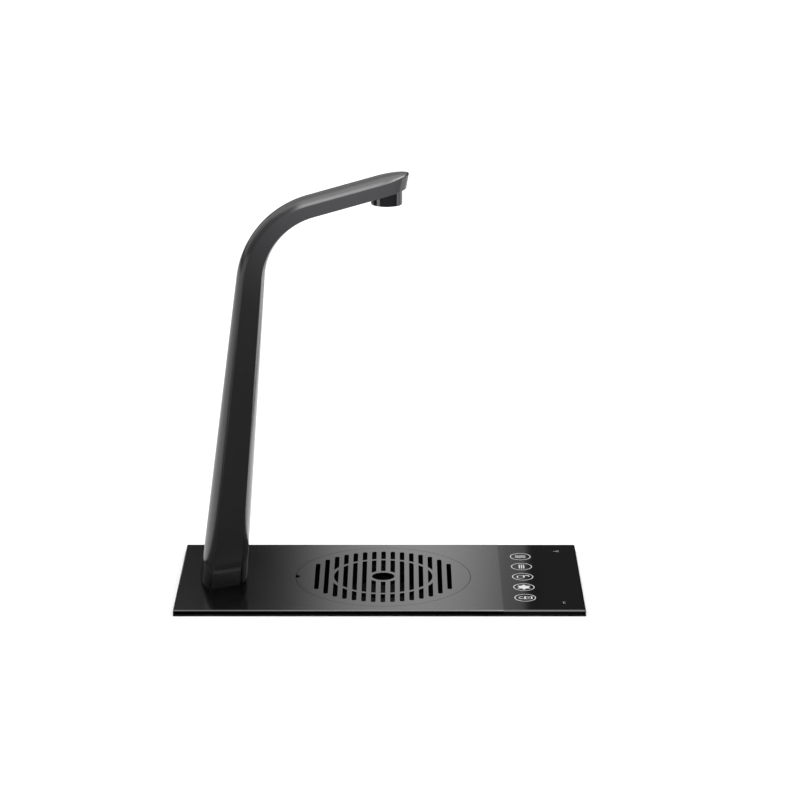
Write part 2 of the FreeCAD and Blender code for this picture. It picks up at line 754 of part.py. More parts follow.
def column_section(body, name, height, inset):
    """A level section of the leaning column, at a height above its foot."""
    share = f"(({height}) / bend_height)"
    outer = mix("-(foot_x - foot_width / 2)", "-(bend_x - bend_outer_low)", share)
    inner = mix("-(foot_x + foot_width / 2)", "-(bend_x - bend_inner_low)", share)
    side = mix("foot_half_depth", "neck_half_depth", share)
    inner_side = mix("foot_inner_half_depth", "neck_half_depth", share)
    depth = f"({side} - {inset})"
    ratio = f"({depth} / {side})"
    section = tap_section(body, name, f"({outer} - {inset})", f"({inner} + {inset})", depth,
                          f"({inner_side} - {inset})",
                          f"{mix('foot_crown', 'neck_crown', share)} * {ratio}",
                          f"{mix('foot_inner_crown', 'neck_inner_crown', share)} * {ratio}",
                          f"crease_radius * {ratio}")
    place_section(section, "0", f"{FOOT} + {height}", "0")
    return section


def tip_section(body, angle):
    """A section of the rounded tip, hung from the upper crease and leaning under it.

    The angle runs round the tip's half ellipse: depth and crowns shrink with its
    cosine, the way along the spout and the lean grow with its sine.
    """
    share, swing = f"cos({angle} deg)", f"sin({angle} deg)"
    lean = f"(tip_lean * {swing})"
    crease = "(bend_outer_high - spout_crown)"
    flat = ("((bend_outer_high - bend_inner_high - spout_crown - spout_inner_crown)"
            f" / cos({lean} * 1 deg))")
    section = tap_section(body, f"tip_{angle}", f"spout_crown * {share}",
                          f"-({flat} + spout_inner_crown * {share})", f"(spout_half_depth * {share})",
                          f"(spout_half_depth * {share})", f"(spout_crown * {share})",
                          f"(spout_inner_crown * {share})", f"(crease_radius * {share})")
    along = f"(spout_reach + tip_length * {swing})"
    turn = f"({FULL_TURN} * 1 deg)"
    place_section(section, f"bend_x - {crease} * cos({turn}) + {along} * sin({turn})",
                  f"{BEND_Z} + {crease} * sin({turn}) + {along} * cos({turn})",
                  f"{FULL_TURN} + {lean}")
    return section


def loft(body, name, sections, ruled, kind="Additive"):
    feature = body.newObject(f"PartDesign::{kind}Loft", name)
    feature.Profile = sections[0]
    feature.Sections = sections[1:]
    feature.Ruled = ruled
    body.Tip = feature
    doc.recompute()
    return feature


def tap_shell(body):
    """The outside: a straight column, the bend, a straight spout and its round tip."""
    foot = column_section(body, "column_foot", "0", "0")
    turns = [bend_section(body, f"bend_{n}", n, "0") for n in range(BEND_STEPS + 1)]
    loft(body, "column", [foot, turns[0]], True)
    loft(body, "bend", turns, False)
    end = bend_section(body, "spout_end", BEND_STEPS, "0", along="spout_reach")
    loft(body, "spout", [turns[-1], end], True)
    loft(body, "tip", [end] + [tip_section(body, angle) for angle in TIP_ANGLES], False)


def tap_cavity(body):
    """The hollow for the water tubes, from above the foot's floor to near the tip."""
    floor = column_section(body, "cavity_floor", "foot_floor", "body_wall")
    turns = [bend_section(body, f"cavity_bend_{n}", n, "body_wall") for n in range(BEND_STEPS + 1)]
    end = bend_section(body, "cavity_end", BEND_STEPS, "body_wall", along="cavity_reach")
    loft(body, "cavity", [floor] + turns + [end], True, "Subtractive")


def tube_bores():
    """Three bores from the cavity's end into the outlet's chamber."""
    bores = []
    for n, side in enumerate((-1, 0, 1)):
        bore = doc.addObject("Part::Cylinder", f"tip_bore_{n}")
        mid = "((bend_outer_high + bend_inner_high) / 2)"
        along = "(cavity_reach - 1)"
        turn = FULL_TURN
        x = f"bend_x - {mid} * cos({turn} * 1 deg) + {along} * sin({turn} * 1 deg)"
        z = f"{BEND_Z} + {mid} * sin({turn} * 1 deg) + {along} * cos({turn} * 1 deg)"
        bore.Placement = FreeCAD.Placement(Vector(), FreeCAD.Rotation(Vector(0, 1, 0), value_of(turn)))
        bind(bore, Placement__Base__x=x, Placement__Base__y=f"{side} * tube_spacing",
             Placement__Base__z=z, Placement__Rotation__Angle=turn,
             Radius="tube_radius + fit_clearance",
             Height=f"(outlet_x - ({x})) / cos(spout_rise * 1 deg)")
        bores.append(bore)
    return bores


CHAMBER_TOP = "(outlet_top + outlet_neck_length + chamber_height)"


def tap_body():
    """Cast column and spout in one piece, bored for its shank, tubes and outlet."""
    body = new_body("tap_casting")
    tap_shell(body)
    tap_cavity(body)
    shank = rod("shank_bore_tool", "foot_x", "0", (f"{FOOT} - 1", f"{FOOT} + foot_floor + 1"),
                "shank_radius + fit_clearance / 2")
    groove = ring("foot_groove", "foot_x", "0", (f"{FOOT} - 1", f"{FOOT} + foot_ring_height"),
                  "foot_ring_inner - fit_clearance", "foot_ring_outer + fit_clearance")
    recess = rod("outlet_recess", "outlet_x", "0", ("outlet_bottom - 10", "outlet_top"),
                 "outlet_radius + fit_clearance")
    chamber = rod("outlet_chamber", "outlet_x", "0", ("outlet_top - 1", CHAMBER_TOP),
                  "outlet_neck_radius + fit_clearance / 2")
    return cut("tap_body", body, [shank, groove, recess, chamber] + tube_bores())


def foot_ring():
    """Square-cut ring in the foot's groove, pressed on the plate."""
    return ring("foot_ring", "foot_x", "0", (FOOT, f"{FOOT} + foot_ring_height"),
                "foot_ring_inner", "foot_ring_outer")


# ---------------------------------------------------------------- outlet
def outlet_sleeve():
    """Turned black sleeve that screws into the spout and holds the outlet insert."""
    body = new_body("outlet_sleeve")
    section = sketch_on(body, "sleeve_section", plane="XZ_Plane", x="outlet_x")
    seat = "(outlet_bottom + insert_recess + insert_thickness)"
    neck_top = "(outlet_top + outlet_neck_length)"
    groove_in, groove_out = "outlet_ring_inner - fit_clearance", "outlet_ring_outer + fit_clearance"
    outline(section, [
        ("insert_radius + fit_clearance", "outlet_bottom"),
        ("outlet_radius - 0.4", "outlet_bottom"),
        ("outlet_radius", "outlet_bottom + 0.4"),
        ("outlet_radius", "outlet_top"),
        (groove_out, "outlet_top"),
        (groove_out, "outlet_top - outlet_ring_height"),
        (groove_in, "outlet_top - outlet_ring_height"),
        (groove_in, "outlet_top"),
        ("outlet_neck_radius", "outlet_top"),
        ("outlet_neck_radius", neck_top),
        ("outlet_bore", neck_top),
        ("outlet_bore", seat),
        ("insert_radius + fit_clearance", seat)])
    revolve(body, section)
    return body


def outlet_insert():
    """Flow straightener: a disc of small round channels, pushed up into the sleeve."""
    body = new_body("outlet_insert")
    low = "(outlet_bottom + insert_recess)"
    disc = sketch_on(body, "insert_disc", x="outlet_x", z=low)
    circle(disc, "0", "0", "insert_radius")
    pad(body, disc, "insert_thickness")
    holes = sketch_on(body, "insert_holes", x="outlet_x", z=low)
    circle(holes, "0", "0", "insert_hole")
    for ring, count in ((1, 6), (2, 12)):
        for number in range(count):
            angle = f"{number * 360 / count} deg"
            circle(holes, f"{ring} * insert_pitch * cos({angle})",
                   f"{ring} * insert_pitch * sin({angle})", "insert_hole")
    pocket(body, holes)
    return body


def outlet_ring():
    """Square-cut ring in the groove of the sleeve's shoulder."""
    return ring("outlet_ring", "outlet_x", "0", ("outlet_top - outlet_ring_height", "outlet_top"),
                "outlet_ring_inner", "outlet_ring_outer")


# ---------------------------------------------------------------- water tubes and shank
RUBBER_LOW = "(-worktop - rubber_washer)"
STEEL_LOW = "(-worktop - rubber_washer - steel_washer)"
SHANK_END = f"({STEEL_LOW} - nut_height - shank_spare - inlet_socket)"
INLET_TOP = f"({SHANK_END} + inlet_socket)"
INLET_BOTTOM = f"({SHANK_END} - inlet_floor)"
PORT_END = f"({INLET_BOTTOM} - port_length)"


def water_tube(label, side):
    """Hose from the inlet block up the column and round the bend to the tip."""
    turn = math.radians(value_of(FULL_TURN))
    rise = math.radians(value_of("spout_rise"))
    low_mid = value_of("(bend_outer_low + bend_inner_low) / 2")
    high_mid = value_of("(bend_outer_high + bend_inner_high) / 2")
    bend = Vector(value_of("bend_x"), 0, value_of(BEND_Z))
    foot = Vector(value_of("foot_x"), 0, value_of(f"{FOOT} + foot_floor"))
    neck = bend + Vector(-low_mid, 0, 0)
    spout = bend + Vector(-high_mid * math.cos(turn), 0, high_mid * math.sin(turn))
    along = Vector(math.cos(rise), 0, math.sin(rise))
    lean = (neck - foot).normalize()
    across = (spout.x - foot.x) * along.z - (spout.z - foot.z) * along.x
    corner = foot + lean * (across / (lean.x * along.z - lean.z * along.x))
    start = Vector(foot.x, 0, value_of(f"{SHANK_END} - inlet_socket / 2"))
    end = spout + along * value_of("cavity_reach + 4")
    shift = Vector(0, side * value_of("tube_spacing"), 0)
    route = [start + shift, foot + shift, corner + shift, end + shift]
    path = rounded_path(route, [value_of("3 * foot_floor"), (low_mid + high_mid) / 2])
    pipes = []
    for radius in ("tube_radius", "tube_radius - tube_wall"):
        rim = Part.Wire([Part.Circle(route[0], Vector(0, 0, 1), value_of(radius)).toShape()])
        pipes.append(path.makePipe(Part.Face(rim)))
    tube = doc.addObject("Part::Feature", label)
    tube.Label = label
    tube.Shape = pipes[0].cut(pipes[1])
    return tube


def rounded_path(points, radii):
    """Straight runs joined by tangent arcs of the given radii."""
    edges = []
    last = points[0]
    for before, corner, after, radius in zip(points, points[1:], points[2:], radii):
        back = (before - corner).normalize()
        ahead = (after - corner).normalize()
        half = back.getAngle(ahead) / 2
        reach = radius / math.tan(half)
        middle = corner + (back + ahead).normalize() * (radius / math.sin(half) - radius)
        enter, leave = corner + back * reach, corner + ahead * reach
        edges.append(Part.LineSegment(last, enter).toShape())
        edges.append(Part.Arc(enter, middle, leave).toShape())
        last = leave
    edges.append(Part.LineSegment(last, points[-1]).toShape())
    return Part.Wire(edges)


def tap_shank():
    """Threaded tube from the tap's foot down through the worktop."""
    return ring("tap_shank", "foot_x", "0", (SHANK_END, f"{FOOT} + foot_floor"), "shank_bore",
                "shank_radius")


def shank_washer():
    """Rubber washer against the worktop's underside."""
    return ring("shank_washer", "foot_x", "0", (RUBBER_LOW, "-worktop"),
                "shank_radius + fit_clearance", "washer_radius")


def shank_plate():
    """Steel washer that spreads the nut's load."""
    return ring("shank_plate", "foot_x", "0", (STEEL_LOW, RUBBER_LOW),
                "shank_radius + fit_clearance", "washer_radius")


def shank_nut():
    """Six-sided lock nut on the shank."""
    nut = doc.addObject("Part::Prism", "shank_nut_blank")
    nut.Polygon = 6
    bind(nut, Placement__Base__x="foot_x", Placement__Base__z=f"{STEEL_LOW} - nut_height",
         Circumradius="nut_flats / 2 / cos(30 deg)", Height="nut_height")
    hole = rod("shank_nut_hole", "foot_x", "0", (f"{STEEL_LOW} - nut_height - 1", f"{STEEL_LOW} + 1"),
               "shank_radius + fit_clearance / 2")
    return cut("shank_nut", nut, [hole])


def inlet_block():
    """Block on the shank's end with a crossway from each water tube to its own port."""
    blank = rod("inlet_blank", "foot_x", "0", (INLET_BOTTOM, INLET_TOP), "inlet_radius")
    bores = [rod("inlet_socket_bore", "foot_x", "0", (SHANK_END, f"{INLET_TOP} + 1"),
                 "shank_radius + fit_clearance / 2")]
    seat = f"({SHANK_END} - inlet_socket / 2)"
    way = (f"{seat} - 2 * passage_radius", f"{seat} + 1")
    for n, side in enumerate((-1, 0, 1)):
        tube_y = f"({side} * tube_spacing)"
        x, y = port_place(side)
        bores.append(rod(f"inlet_tube_bore_{n}", "foot_x", tube_y, (seat, f"{SHANK_END} + 1"),
                         "tube_radius + fit_clearance / 2"))
        bores.append(rod(f"inlet_drop_{n}", x, y, (f"{INLET_BOTTOM} - 1", seat), "passage_radius"))
        near, far = (tube_y, y) if side > 0 else (y, tube_y)
        bores.append(block(f"inlet_crossway_{n}", ("foot_x - passage_radius", f"{x} + passage_radius"),
                           (f"{near} - passage_radius", f"{far} + passage_radius"), way))
    return cut("inlet_block", blank, bores)


def inlet_ports():
    """Three push-in collars under the block, one for each supply hose."""
    collars = [ring(f"inlet_port_{n}", *port_place(side), (PORT_END, INLET_BOTTOM), "port_radius",
                    "port_radius + port_wall")
               for n, side in enumerate((-1, 0, 1))]
    return group("inlet_ports", collars)


def port_place(side):
    """The two outer ports stand beyond the outer tubes, the middle one beside its own."""
    across = "foot_x" if side else "(foot_x + port_shift)"
    return across, f"({side} * port_spread)"


# ---------------------------------------------------------------- plate fixings
CLAW_TOP = "(-worktop - claw_toe)"
CLAW_LOW = "(-worktop - claw_toe - claw_thickness)"


def fixing_studs():
    """Four threaded studs under the frame."""
    end = f"({CLAW_LOW} - wing_height - stud_spare)"
    studs = [rod(f"fixing_stud_{n}", x, y, (end, "0"), "stud_radius")
             for n, (x, y) in enumerate(stud_places())]
    return group("fixing_studs", studs)


def clamp_claws():
    """Bars that reach outward past the cut-out's edge and grip the worktop from below."""
    claws = []
    for n, (x, y) in enumerate(stud_places()):
        wide = (f"{x} - claw_width / 2", f"{x} + claw_width / 2")
        near, far, heel = f"{y} + claw_width / 2", f"{y} + claw_length", f"{y} + claw_length - claw_toe"
        ends, toe = (f"{y} - claw_width / 2", far), (heel, far)
        if n % 2 == 0:
            near, far, heel = f"{y} + claw_width / 2", f"{y} - claw_length", f"{y} - claw_length + claw_toe"
            ends, toe = (far, near), (far, heel)
        bar = block(f"claw_bar_{n}", wide, ends, (CLAW_LOW, CLAW_TOP))
        lip = block(f"claw_toe_{n}", wide, toe, (f"{CLAW_TOP} - 1", "-worktop"))
        hole = rod(f"claw_hole_{n}", x, y, (f"{CLAW_LOW} - 1", "-worktop"),
                   "stud_radius + fit_clearance")
        claws.append(cut(f"claw_{n}", fuse(f"claw_blank_{n}", [bar, lip]), [hole]))
    return group("clamp_claws", claws)


def wing_nuts():
    """Wing nuts that draw the claws up."""
    nuts = []
    for n, (x, y) in enumerate(stud_places()):
        hub = taper(f"wing_hub_{n}", x, y, (f"{CLAW_LOW} - wing_height", CLAW_LOW),
                    "1.6 * stud_radius", "2 * stud_radius")
        wings = block(f"wings_{n}", (f"{x} - wing_span / 2", f"{x} + wing_span / 2"),
                      (f"{y} - stud_radius / 3", f"{y} + stud_radius / 3"),
                      (f"{CLAW_LOW} - 1.6 * wing_height", f"{CLAW_LOW} - wing_height / 3"))
        gap = rod(f"wing_gap_{n}", x, y, (f"{CLAW_LOW} - 2 * wing_height", f"{CLAW_LOW} - wing_height"),
                  "1.9 * stud_radius")
        hole = rod(f"wing_hole_{n}", x, y, (f"{CLAW_LOW} - 2 * wing_height", f"{CLAW_LOW} + 1"),
                   "stud_radius + fit_clearance / 2")
        nuts.append(cut(f"wing_nut_{n}", fuse(f"wing_blank_{n}", [hub, wings]), [gap, hole]))
    return group("wing_nuts", nuts)


# ---------------------------------------------------------------- touch panel electronics
def button_places():
    """Five buttons in a row from front to back."""
    return [("button_x", f"button_y + {n} * button_pitch") for n in range(-2, 3)]


def light_mask():
    """Black mask under the glass with a well for each lit button."""
    body = new_body("light_mask")
    sheet_outline = sketch_on(body, "mask_outline")
    rectangle(sheet_outline, (f"{WINDOW_X[0]} + fit_clearance", f"{WINDOW_X[1]} - fit_clearance"),
              (f"{WINDOW_Y[0]} + fit_clearance", f"{WINDOW_Y[1]} - fit_clearance"))
    for x, y in button_places():
        circle(sheet_outline, x, y, "button_well")
    pad(body, sheet_outline, "frame_thickness")
    return body


def icon_lights():
    """Small lamps on the board, one in each well."""
    lights = [block(f"light_{n}", (f"{x} - light_size / 2", f"{x} + light_size / 2"),
                    (f"{y} - light_size / 2", f"{y} + light_size / 2"), ("0", "light_height"))
              for n, (x, y) in enumerate(button_places())]
    return group("icon_lights", lights)


BOARD_X = ("window_x - window_width / 2 + housing_wall + fit_clearance",
           "window_x + window_width / 2 - housing_wall - fit_clearance")
BOARD_Y = ("-window_depth / 2 + housing_wall + fit_clearance",
           "window_depth / 2 - housing_wall - fit_clearance")
HOUSING_FLOOR = "(-housing_depth + housing_wall)"


def post_places():
    shift_x = "(window_width / 2 - 3 * housing_wall - post_radius)"
    shift_y = "(window_depth / 2 - 3 * housing_wall - post_radius)"
    return [(f"window_x + {a} * {shift_x}", f"{b} * {shift_y}") for a in (-1, 1) for b in (-1, 1)]


def touch_board():
    """Circuit board that senses a finger through the glass."""
    board = block("board_blank", BOARD_X, BOARD_Y, ("-board_thickness", "0"))
    holes = [rod(f"board_hole_{n}", x, y, ("-board_thickness - 1", "1"),
                 "post_radius / 2 + fit_clearance")
             for n, (x, y) in enumerate(post_places())]
    return cut("touch_board", board, holes)


def data_socket():
    """Cable socket on the board's underside, open downward; no cable is shown."""
    shell = block("socket_shell", ("window_x - socket_width / 2", "window_x + socket_width / 2"),
                  ("socket_y - socket_depth / 2", "socket_y + socket_depth / 2"),
                  ("-housing_depth", "-board_thickness"))
    cavity = block("socket_cavity_tool",
                   ("window_x - socket_opening_width / 2", "window_x + socket_opening_width / 2"),
                   ("socket_y - socket_opening_depth / 2", "socket_y + socket_opening_depth / 2"),
                   ("-housing_depth - 1", "-housing_depth + socket_cavity"))
    return cut("data_socket", shell, [cavity])


def touch_housing():
    """Moulded tub that closes the touch panel from below, hung by its flange."""
    body = new_body("touch_tub")
    flange_low = "(-housing_seal_thickness - housing_wall)"
    flange = sketch_on(body, "housing_flange", z=flange_low)
    rectangle(flange, (f"{WINDOW_X[0]} - housing_margin", f"{WINDOW_X[1]} + housing_margin"),
              (f"{WINDOW_Y[0]} - housing_margin", f"{WINDOW_Y[1]} + housing_margin"))
    pad(body, flange, "housing_wall")
    tub = sketch_on(body, "housing_tub", z="-housing_depth")
    rectangle(tub, WINDOW_X, WINDOW_Y)
    pad(body, tub, "housing_depth - housing_seal_thickness")
    hollow = sketch_on(body, "housing_hollow", z=HOUSING_FLOOR)
    rectangle(hollow, (f"{WINDOW_X[0]} + housing_wall", f"{WINDOW_X[1]} - housing_wall"),
              (f"{WINDOW_Y[0]} + housing_wall", f"{WINDOW_Y[1]} - housing_wall"))
    pocket(body, hollow, "housing_depth", upward=True)
    openings = sketch_on(body, "housing_openings", z="-housing_depth")
    rectangle(openings, ("window_x - socket_width / 2 - fit_clearance",
                         "window_x + socket_width / 2 + fit_clearance"),
              ("socket_y - socket_depth / 2 - fit_clearance",
               "socket_y + socket_depth / 2 + fit_clearance"))
    for x, y in housing_screw_places():
        circle(openings, x, y, "screw_radius + fit_clearance")
    pocket(body, openings)
    posts = []
    for n, (x, y) in enumerate(post_places()):
        posts.append(rod(f"housing_post_{n}", x, y, (f"{HOUSING_FLOOR} - 1", "-board_thickness"),
                         "post_radius"))
        posts.append(rod(f"housing_pin_{n}", x, y, ("-board_thickness - 1", "0"), "post_radius / 2"))
    return fuse("touch_housing", [body] + posts)


def housing_screw_places():
    inset = "(housing_margin / 2)"
    across = [f"({WINDOW_X[0]} - {inset})", f"({WINDOW_X[1]} + {inset})"]
    return [(x, f"{side} * (window_depth / 2 + {inset})") for x in across for side in (-1, 1)]


def housing_seal():
    """Flat gasket between the tub's flange and the frame."""
    body = new_body("housing_seal")
    ring = sketch_on(body, "housing_seal_outline", z="-housing_seal_thickness")
    rectangle(ring, (f"{WINDOW_X[0]} - housing_margin", f"{WINDOW_X[1]} + housing_margin"),
              (f"{WINDOW_Y[0]} - housing_margin", f"{WINDOW_Y[1]} + housing_margin"))
    rectangle(ring, (f"{WINDOW_X[0]} + housing_wall", f"{WINDOW_X[1]} - housing_wall"),
              (f"{WINDOW_Y[0]} + housing_wall", f"{WINDOW_Y[1]} - housing_wall"))
    for x, y in housing_screw_places():
        circle(ring, x, y, "screw_radius + fit_clearance")
    pad(body, ring, "housing_seal_thickness")
    return body


def housing_screws():
    """Pan-head screws through the tub's flange into the frame."""
    screws = []
    under = "(-housing_seal_thickness - housing_wall)"
    for n, (x, y) in enumerate(housing_screw_places()):
        head = rod(f"housing_screw_head_{n}", x, y, (f"{under} - 1.4 * screw_radius", under),
                   "1.5 * screw_radius")
        shaft = rod(f"housing_screw_shaft_{n}", x, y, (f"{under} - 1", "0"), "screw_radius")
        screws.append(fuse(f"housing_screw_{n}", [head, shaft]))
    return group("housing_screws", screws)


# ---------------------------------------------------------------- build and write
nodes = [
    base_frame(), worktop_seal(), deck_plate(), plate_screws(), touch_glass(),
    drip_grille(), grille_pads(), drip_bowl(), bowl_seal(), drain_strainer(), drain_screw(),
    drain_seal(), waste_tail(), tap_body(), foot_ring(), outlet_sleeve(), outlet_ring(), outlet_insert(),
    tap_shank(), shank_washer(), shank_plate(), shank_nut(), inlet_block(), inlet_ports(),
    water_tube("boiling_tube", 0), water_tube("chilled_tube", 1), water_tube("mixed_tube", -1),
    fixing_studs(), clamp_claws(), wing_nuts(), light_mask(), icon_lights(), touch_board(),
    data_socket(), touch_housing(), housing_seal(), housing_screws(),
]
doc.recompute()

broken = [thing.Name for thing in doc.Objects if {"Invalid", "Error"} & set(thing.State)]
broken += [node.Label for node in nodes if node.Shape.isNull() or not node.Shape.isValid()]
if broken:
    raise SystemExit("not built: " + ", ".join(broken))
for node in nodes:
    node.Shape.exportStep(f"parts/{node.Label}.step")
    print(f"{node.Label:16s} {len(node.Shape.Solids):3d} solids {node.Shape.Volume:12.1f} mm3")
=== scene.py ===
"""Boiling water tap: a satin black column and spout on a worktop plate with a slotted
drip grille and a black glass touch panel. Metres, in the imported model's own frame:
+X runs from the tap to the panel, +Y to the back, and the worktop's top is z = 0.
"""
import bmesh
import bpy
import math
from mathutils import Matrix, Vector


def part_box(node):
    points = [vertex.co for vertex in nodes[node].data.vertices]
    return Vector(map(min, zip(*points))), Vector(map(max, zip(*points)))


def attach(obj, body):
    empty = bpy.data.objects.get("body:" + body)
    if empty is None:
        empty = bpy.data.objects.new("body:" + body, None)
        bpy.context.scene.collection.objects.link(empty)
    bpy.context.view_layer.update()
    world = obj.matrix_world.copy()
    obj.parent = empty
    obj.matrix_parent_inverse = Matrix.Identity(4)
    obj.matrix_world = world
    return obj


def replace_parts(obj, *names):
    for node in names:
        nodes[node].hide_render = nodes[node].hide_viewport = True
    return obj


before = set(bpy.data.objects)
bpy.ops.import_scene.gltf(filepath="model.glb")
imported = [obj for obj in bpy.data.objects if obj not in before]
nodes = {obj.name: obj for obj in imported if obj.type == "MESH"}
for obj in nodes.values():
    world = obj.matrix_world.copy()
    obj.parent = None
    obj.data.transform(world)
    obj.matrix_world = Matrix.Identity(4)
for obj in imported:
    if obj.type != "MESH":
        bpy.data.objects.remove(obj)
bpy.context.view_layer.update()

# ---------------------------------------------------------------- camera
# A long lens 2.3 m away from the plate, looking along +Y and down 16 degrees, as
# the plate's four corners and the grille's circle give it in the photograph.
camera_data = bpy.data.cameras.new("camera")
camera_data.lens = 132.89
camera_data.sensor_width = 36.0
camera_data.clip_end = 60.0
camera = bpy.data.objects.new("camera", camera_data)
camera.location = (0.01539, -2.16271, 0.7657)
camera.rotation_euler = (math.radians(74.033), 0, 0)
bpy.context.scene.collection.objects.link(camera)
bpy.context.scene.camera = camera
bpy.context.scene.view_settings.view_transform = "Standard"


# ---------------------------------------------------------------- frame under the plate
# Laser-cut steel frame, powder coated dead black. It shows as the lower of the two
# fine layers in the front face, and everything else is screwed or hung on it.
def linear(colour):
    """A colour for the shader from sRGB hex."""
    parts = [int(colour[n:n + 2], 16) / 255 for n in (1, 3, 5)]
    return [c / 12.92 if c <= 0.04045 else ((c + 0.055) / 1.055) ** 2.4 for c in parts] + [1.0]


def add(tree, kind, inputs=None, **settings):
    """A node with its settings, and its inputs set or linked."""
    made = tree.nodes.new(kind)
    for name, value in settings.items():
        setattr(made, name, value)
    for socket, value in (inputs or {}).items():
        if isinstance(value, bpy.types.NodeSocket):
            tree.links.new(value, made.inputs[socket])
        else:
            made.inputs[socket].default_value = value
    return made


def finish(name, **sockets):
    """A new material, its tree, its shader and its object coordinates."""
    material = bpy.data.materials.new(name)
    material.use_nodes = True
    tree = material.node_tree
    tree.nodes.clear()
    shader = add(tree, "ShaderNodeBsdfPrincipled")
    for socket, value in sockets.items():
        shader.inputs[socket.replace("_", " ")].default_value = value
    tree.links.new(shader.outputs[0], add(tree, "ShaderNodeOutputMaterial").inputs[0])
    return material, tree, shader, add(tree, "ShaderNodeTexCoord").outputs["Object"]


def raise_relief(tree, shader, height, strength, distance):
    """Fine relief from a pattern, its full height in metres."""
    bump = add(tree, "ShaderNodeBump",
               {"Height": height, "Strength": strength, "Distance": distance})
    tree.links.new(bump.outputs["Normal"], shader.inputs["Normal"])


def set_look(material, *names):
    """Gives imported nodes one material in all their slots."""
    for name in names:
        mesh = nodes[name].data
        if not mesh.materials:
            mesh.materials.append(material)
        for place in nodes[name].material_slots:
            place.material = material


powder, tree, shader, place = finish("dead_black_powder_coat",
                                     Base_Color=linear("#020202"), Roughness=0.6)
# Powder coat flows out to a fine orange peel, about 0.6 mm from crest to crest.
grit = add(tree, "ShaderNodeTexNoise", {"Vector": place, "Scale": 1 / 0.0006, "Detail": 3.0})
raise_relief(tree, shader, grit.outputs["Fac"], 0.2, 0.00008)
set_look(powder, "base_frame")

# ---------------------------------------------------------------- seals and washers
# Nitrile rubber, die-cut or moulded: the strip on the worktop, the rings of the bowl,
# the waste, the foot and the outlet, the grille's pads and the big washer.
def vary_roughness(tree, shader, pattern, low, high):
    """Roughness that follows a pattern between two values."""
    dull = add(tree, "ShaderNodeMapRange", {"Value": pattern, "To Min": low, "To Max": high})
    tree.links.new(dull.outputs["Result"], shader.inputs["Roughness"])


rubber, tree, shader, place = finish("black_nitrile_rubber", Base_Color=linear("#18181a"), IOR=1.52)
# A dull bloom comes and goes over about 4 mm.
bloom = add(tree, "ShaderNodeTexNoise", {"Vector": place, "Scale": 1 / 0.004, "Detail": 4.0})
vary_roughness(tree, shader, bloom.outputs["Fac"], 0.65, 0.85)
set_look(rubber, "worktop_seal", "bowl_seal", "drain_seal", "grille_pads", "foot_ring",
         "outlet_ring", "shank_washer", "housing_seal")

# ---------------------------------------------------------------- metal plate
# Aluminium plate, bead-blasted and anodised black, lying on the frame. Its three free
# upper edges are milled at 45 degrees, and it meets the glass in a flush hairline joint.
MM = 0.001
(PLATE_LEFT, PLATE_FRONT, PLATE_LOW), (PLATE_RIGHT, PLATE_BACK, DECK_TOP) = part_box("deck_plate")
PLATE_BEVEL = 0.68 * MM
GRILLE_X = 2.4 * MM
GRILLE_HOLE = 67.85 * MM
# Steps along each side of the plate, so that its round hole has four times as many.
SIDE_STEPS = 40


def new_piece(name, mesh, material, body="tap"):
    """An object from a bmesh, riding on a body and taking a slot's finish."""
    data = bpy.data.meshes.new(name)
    mesh.to_mesh(data)
    mesh.free()
    data.materials.append(material)
    piece = bpy.data.objects.new(name, data)
    bpy.context.scene.collection.objects.link(piece)
    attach(piece, body)
    return piece


def mix(low, high, share):
    """The value that lies a share of the way between two."""
    return low + (high - low) * share


def join_loops(mesh, loops, closed=False):
    """Quads between rings of points that have the same count, and from last to first if closed."""
    rows = [[mesh.verts.new(p) for p in loop] for loop in loops]
    for low, high in zip(rows, rows[1:] + rows[:1] if closed else rows[1:]):
        for n in range(len(low)):
            m = (n + 1) % len(low)
            mesh.faces.new((low[n], low[m], high[m], high[n]))
    return rows


def slab_loops(x, y, z, bevels, hole=None):
    """Rings round a slab: top outline, under its bevel, and bottom, then its round hole.

    The bevels are those of the left, right, front and back upper edges. Without a
    hole the top and bottom outlines are closed by faces of their own.
    """
    corners = [(x[0], y[0]), (x[1], y[0]), (x[1], y[1]), (x[0], y[1])]
    middle, radius = hole or (((x[0] + x[1]) / 2, (y[0] + y[1]) / 2), 0.0)
    steps = SIDE_STEPS if hole else 1
    outer = [(mix(a[0], b[0], n / steps), mix(a[1], b[1], n / steps))
             for a, b in zip(corners, corners[1:] + corners[:1]) for n in range(steps)]
    left, right, front, back = bevels
    top = [(min(max(px, x[0] + left), x[1] - right), min(max(py, y[0] + front), y[1] - back))
           for px, py in outer]
    bevel_low = z[1] - max(bevels)
    loops = [[(px, py, z[1]) for px, py in top], [(px, py, bevel_low) for px, py in outer],
             [(px, py, z[0]) for px, py in outer]]
    if hole:
        turns = [math.atan2(py - middle[1], px - middle[0]) for px, py in outer]
        for height in z:
            loops.append([(middle[0] + radius * math.cos(turn),
                           middle[1] + radius * math.sin(turn), height) for turn in turns])
    return loops


def vary_colour(tree, shader, pattern, first, second):
    """Base colour that follows a pattern between two sRGB hex values."""
    tone = add(tree, "ShaderNodeMix",
               {"Factor": pattern, "A": linear(first), "B": linear(second)}, data_type="RGBA")
    tree.links.new(tone.outputs["Result"], shader.inputs["Base Color"])


anodised, tree, shader, place = finish("black_anodised_aluminium_with_painted_shade", IOR=1.5)
# Bead blasting leaves dimples about 0.25 mm across, and the dye takes a little unevenly.
blast = add(tree, "ShaderNodeTexNoise", {"Vector": place, "Scale": 1 / 0.00025, "Detail": 1.0})
raise_relief(tree, shader, blast.outputs["Fac"], 0.06, 0.00005)
cloud = add(tree, "ShaderNodeTexNoise", {"Vector": place, "Scale": 1 / 0.04, "Detail": 3.0})
vary_roughness(tree, shader, cloud.outputs["Fac"], 0.14, 0.17)
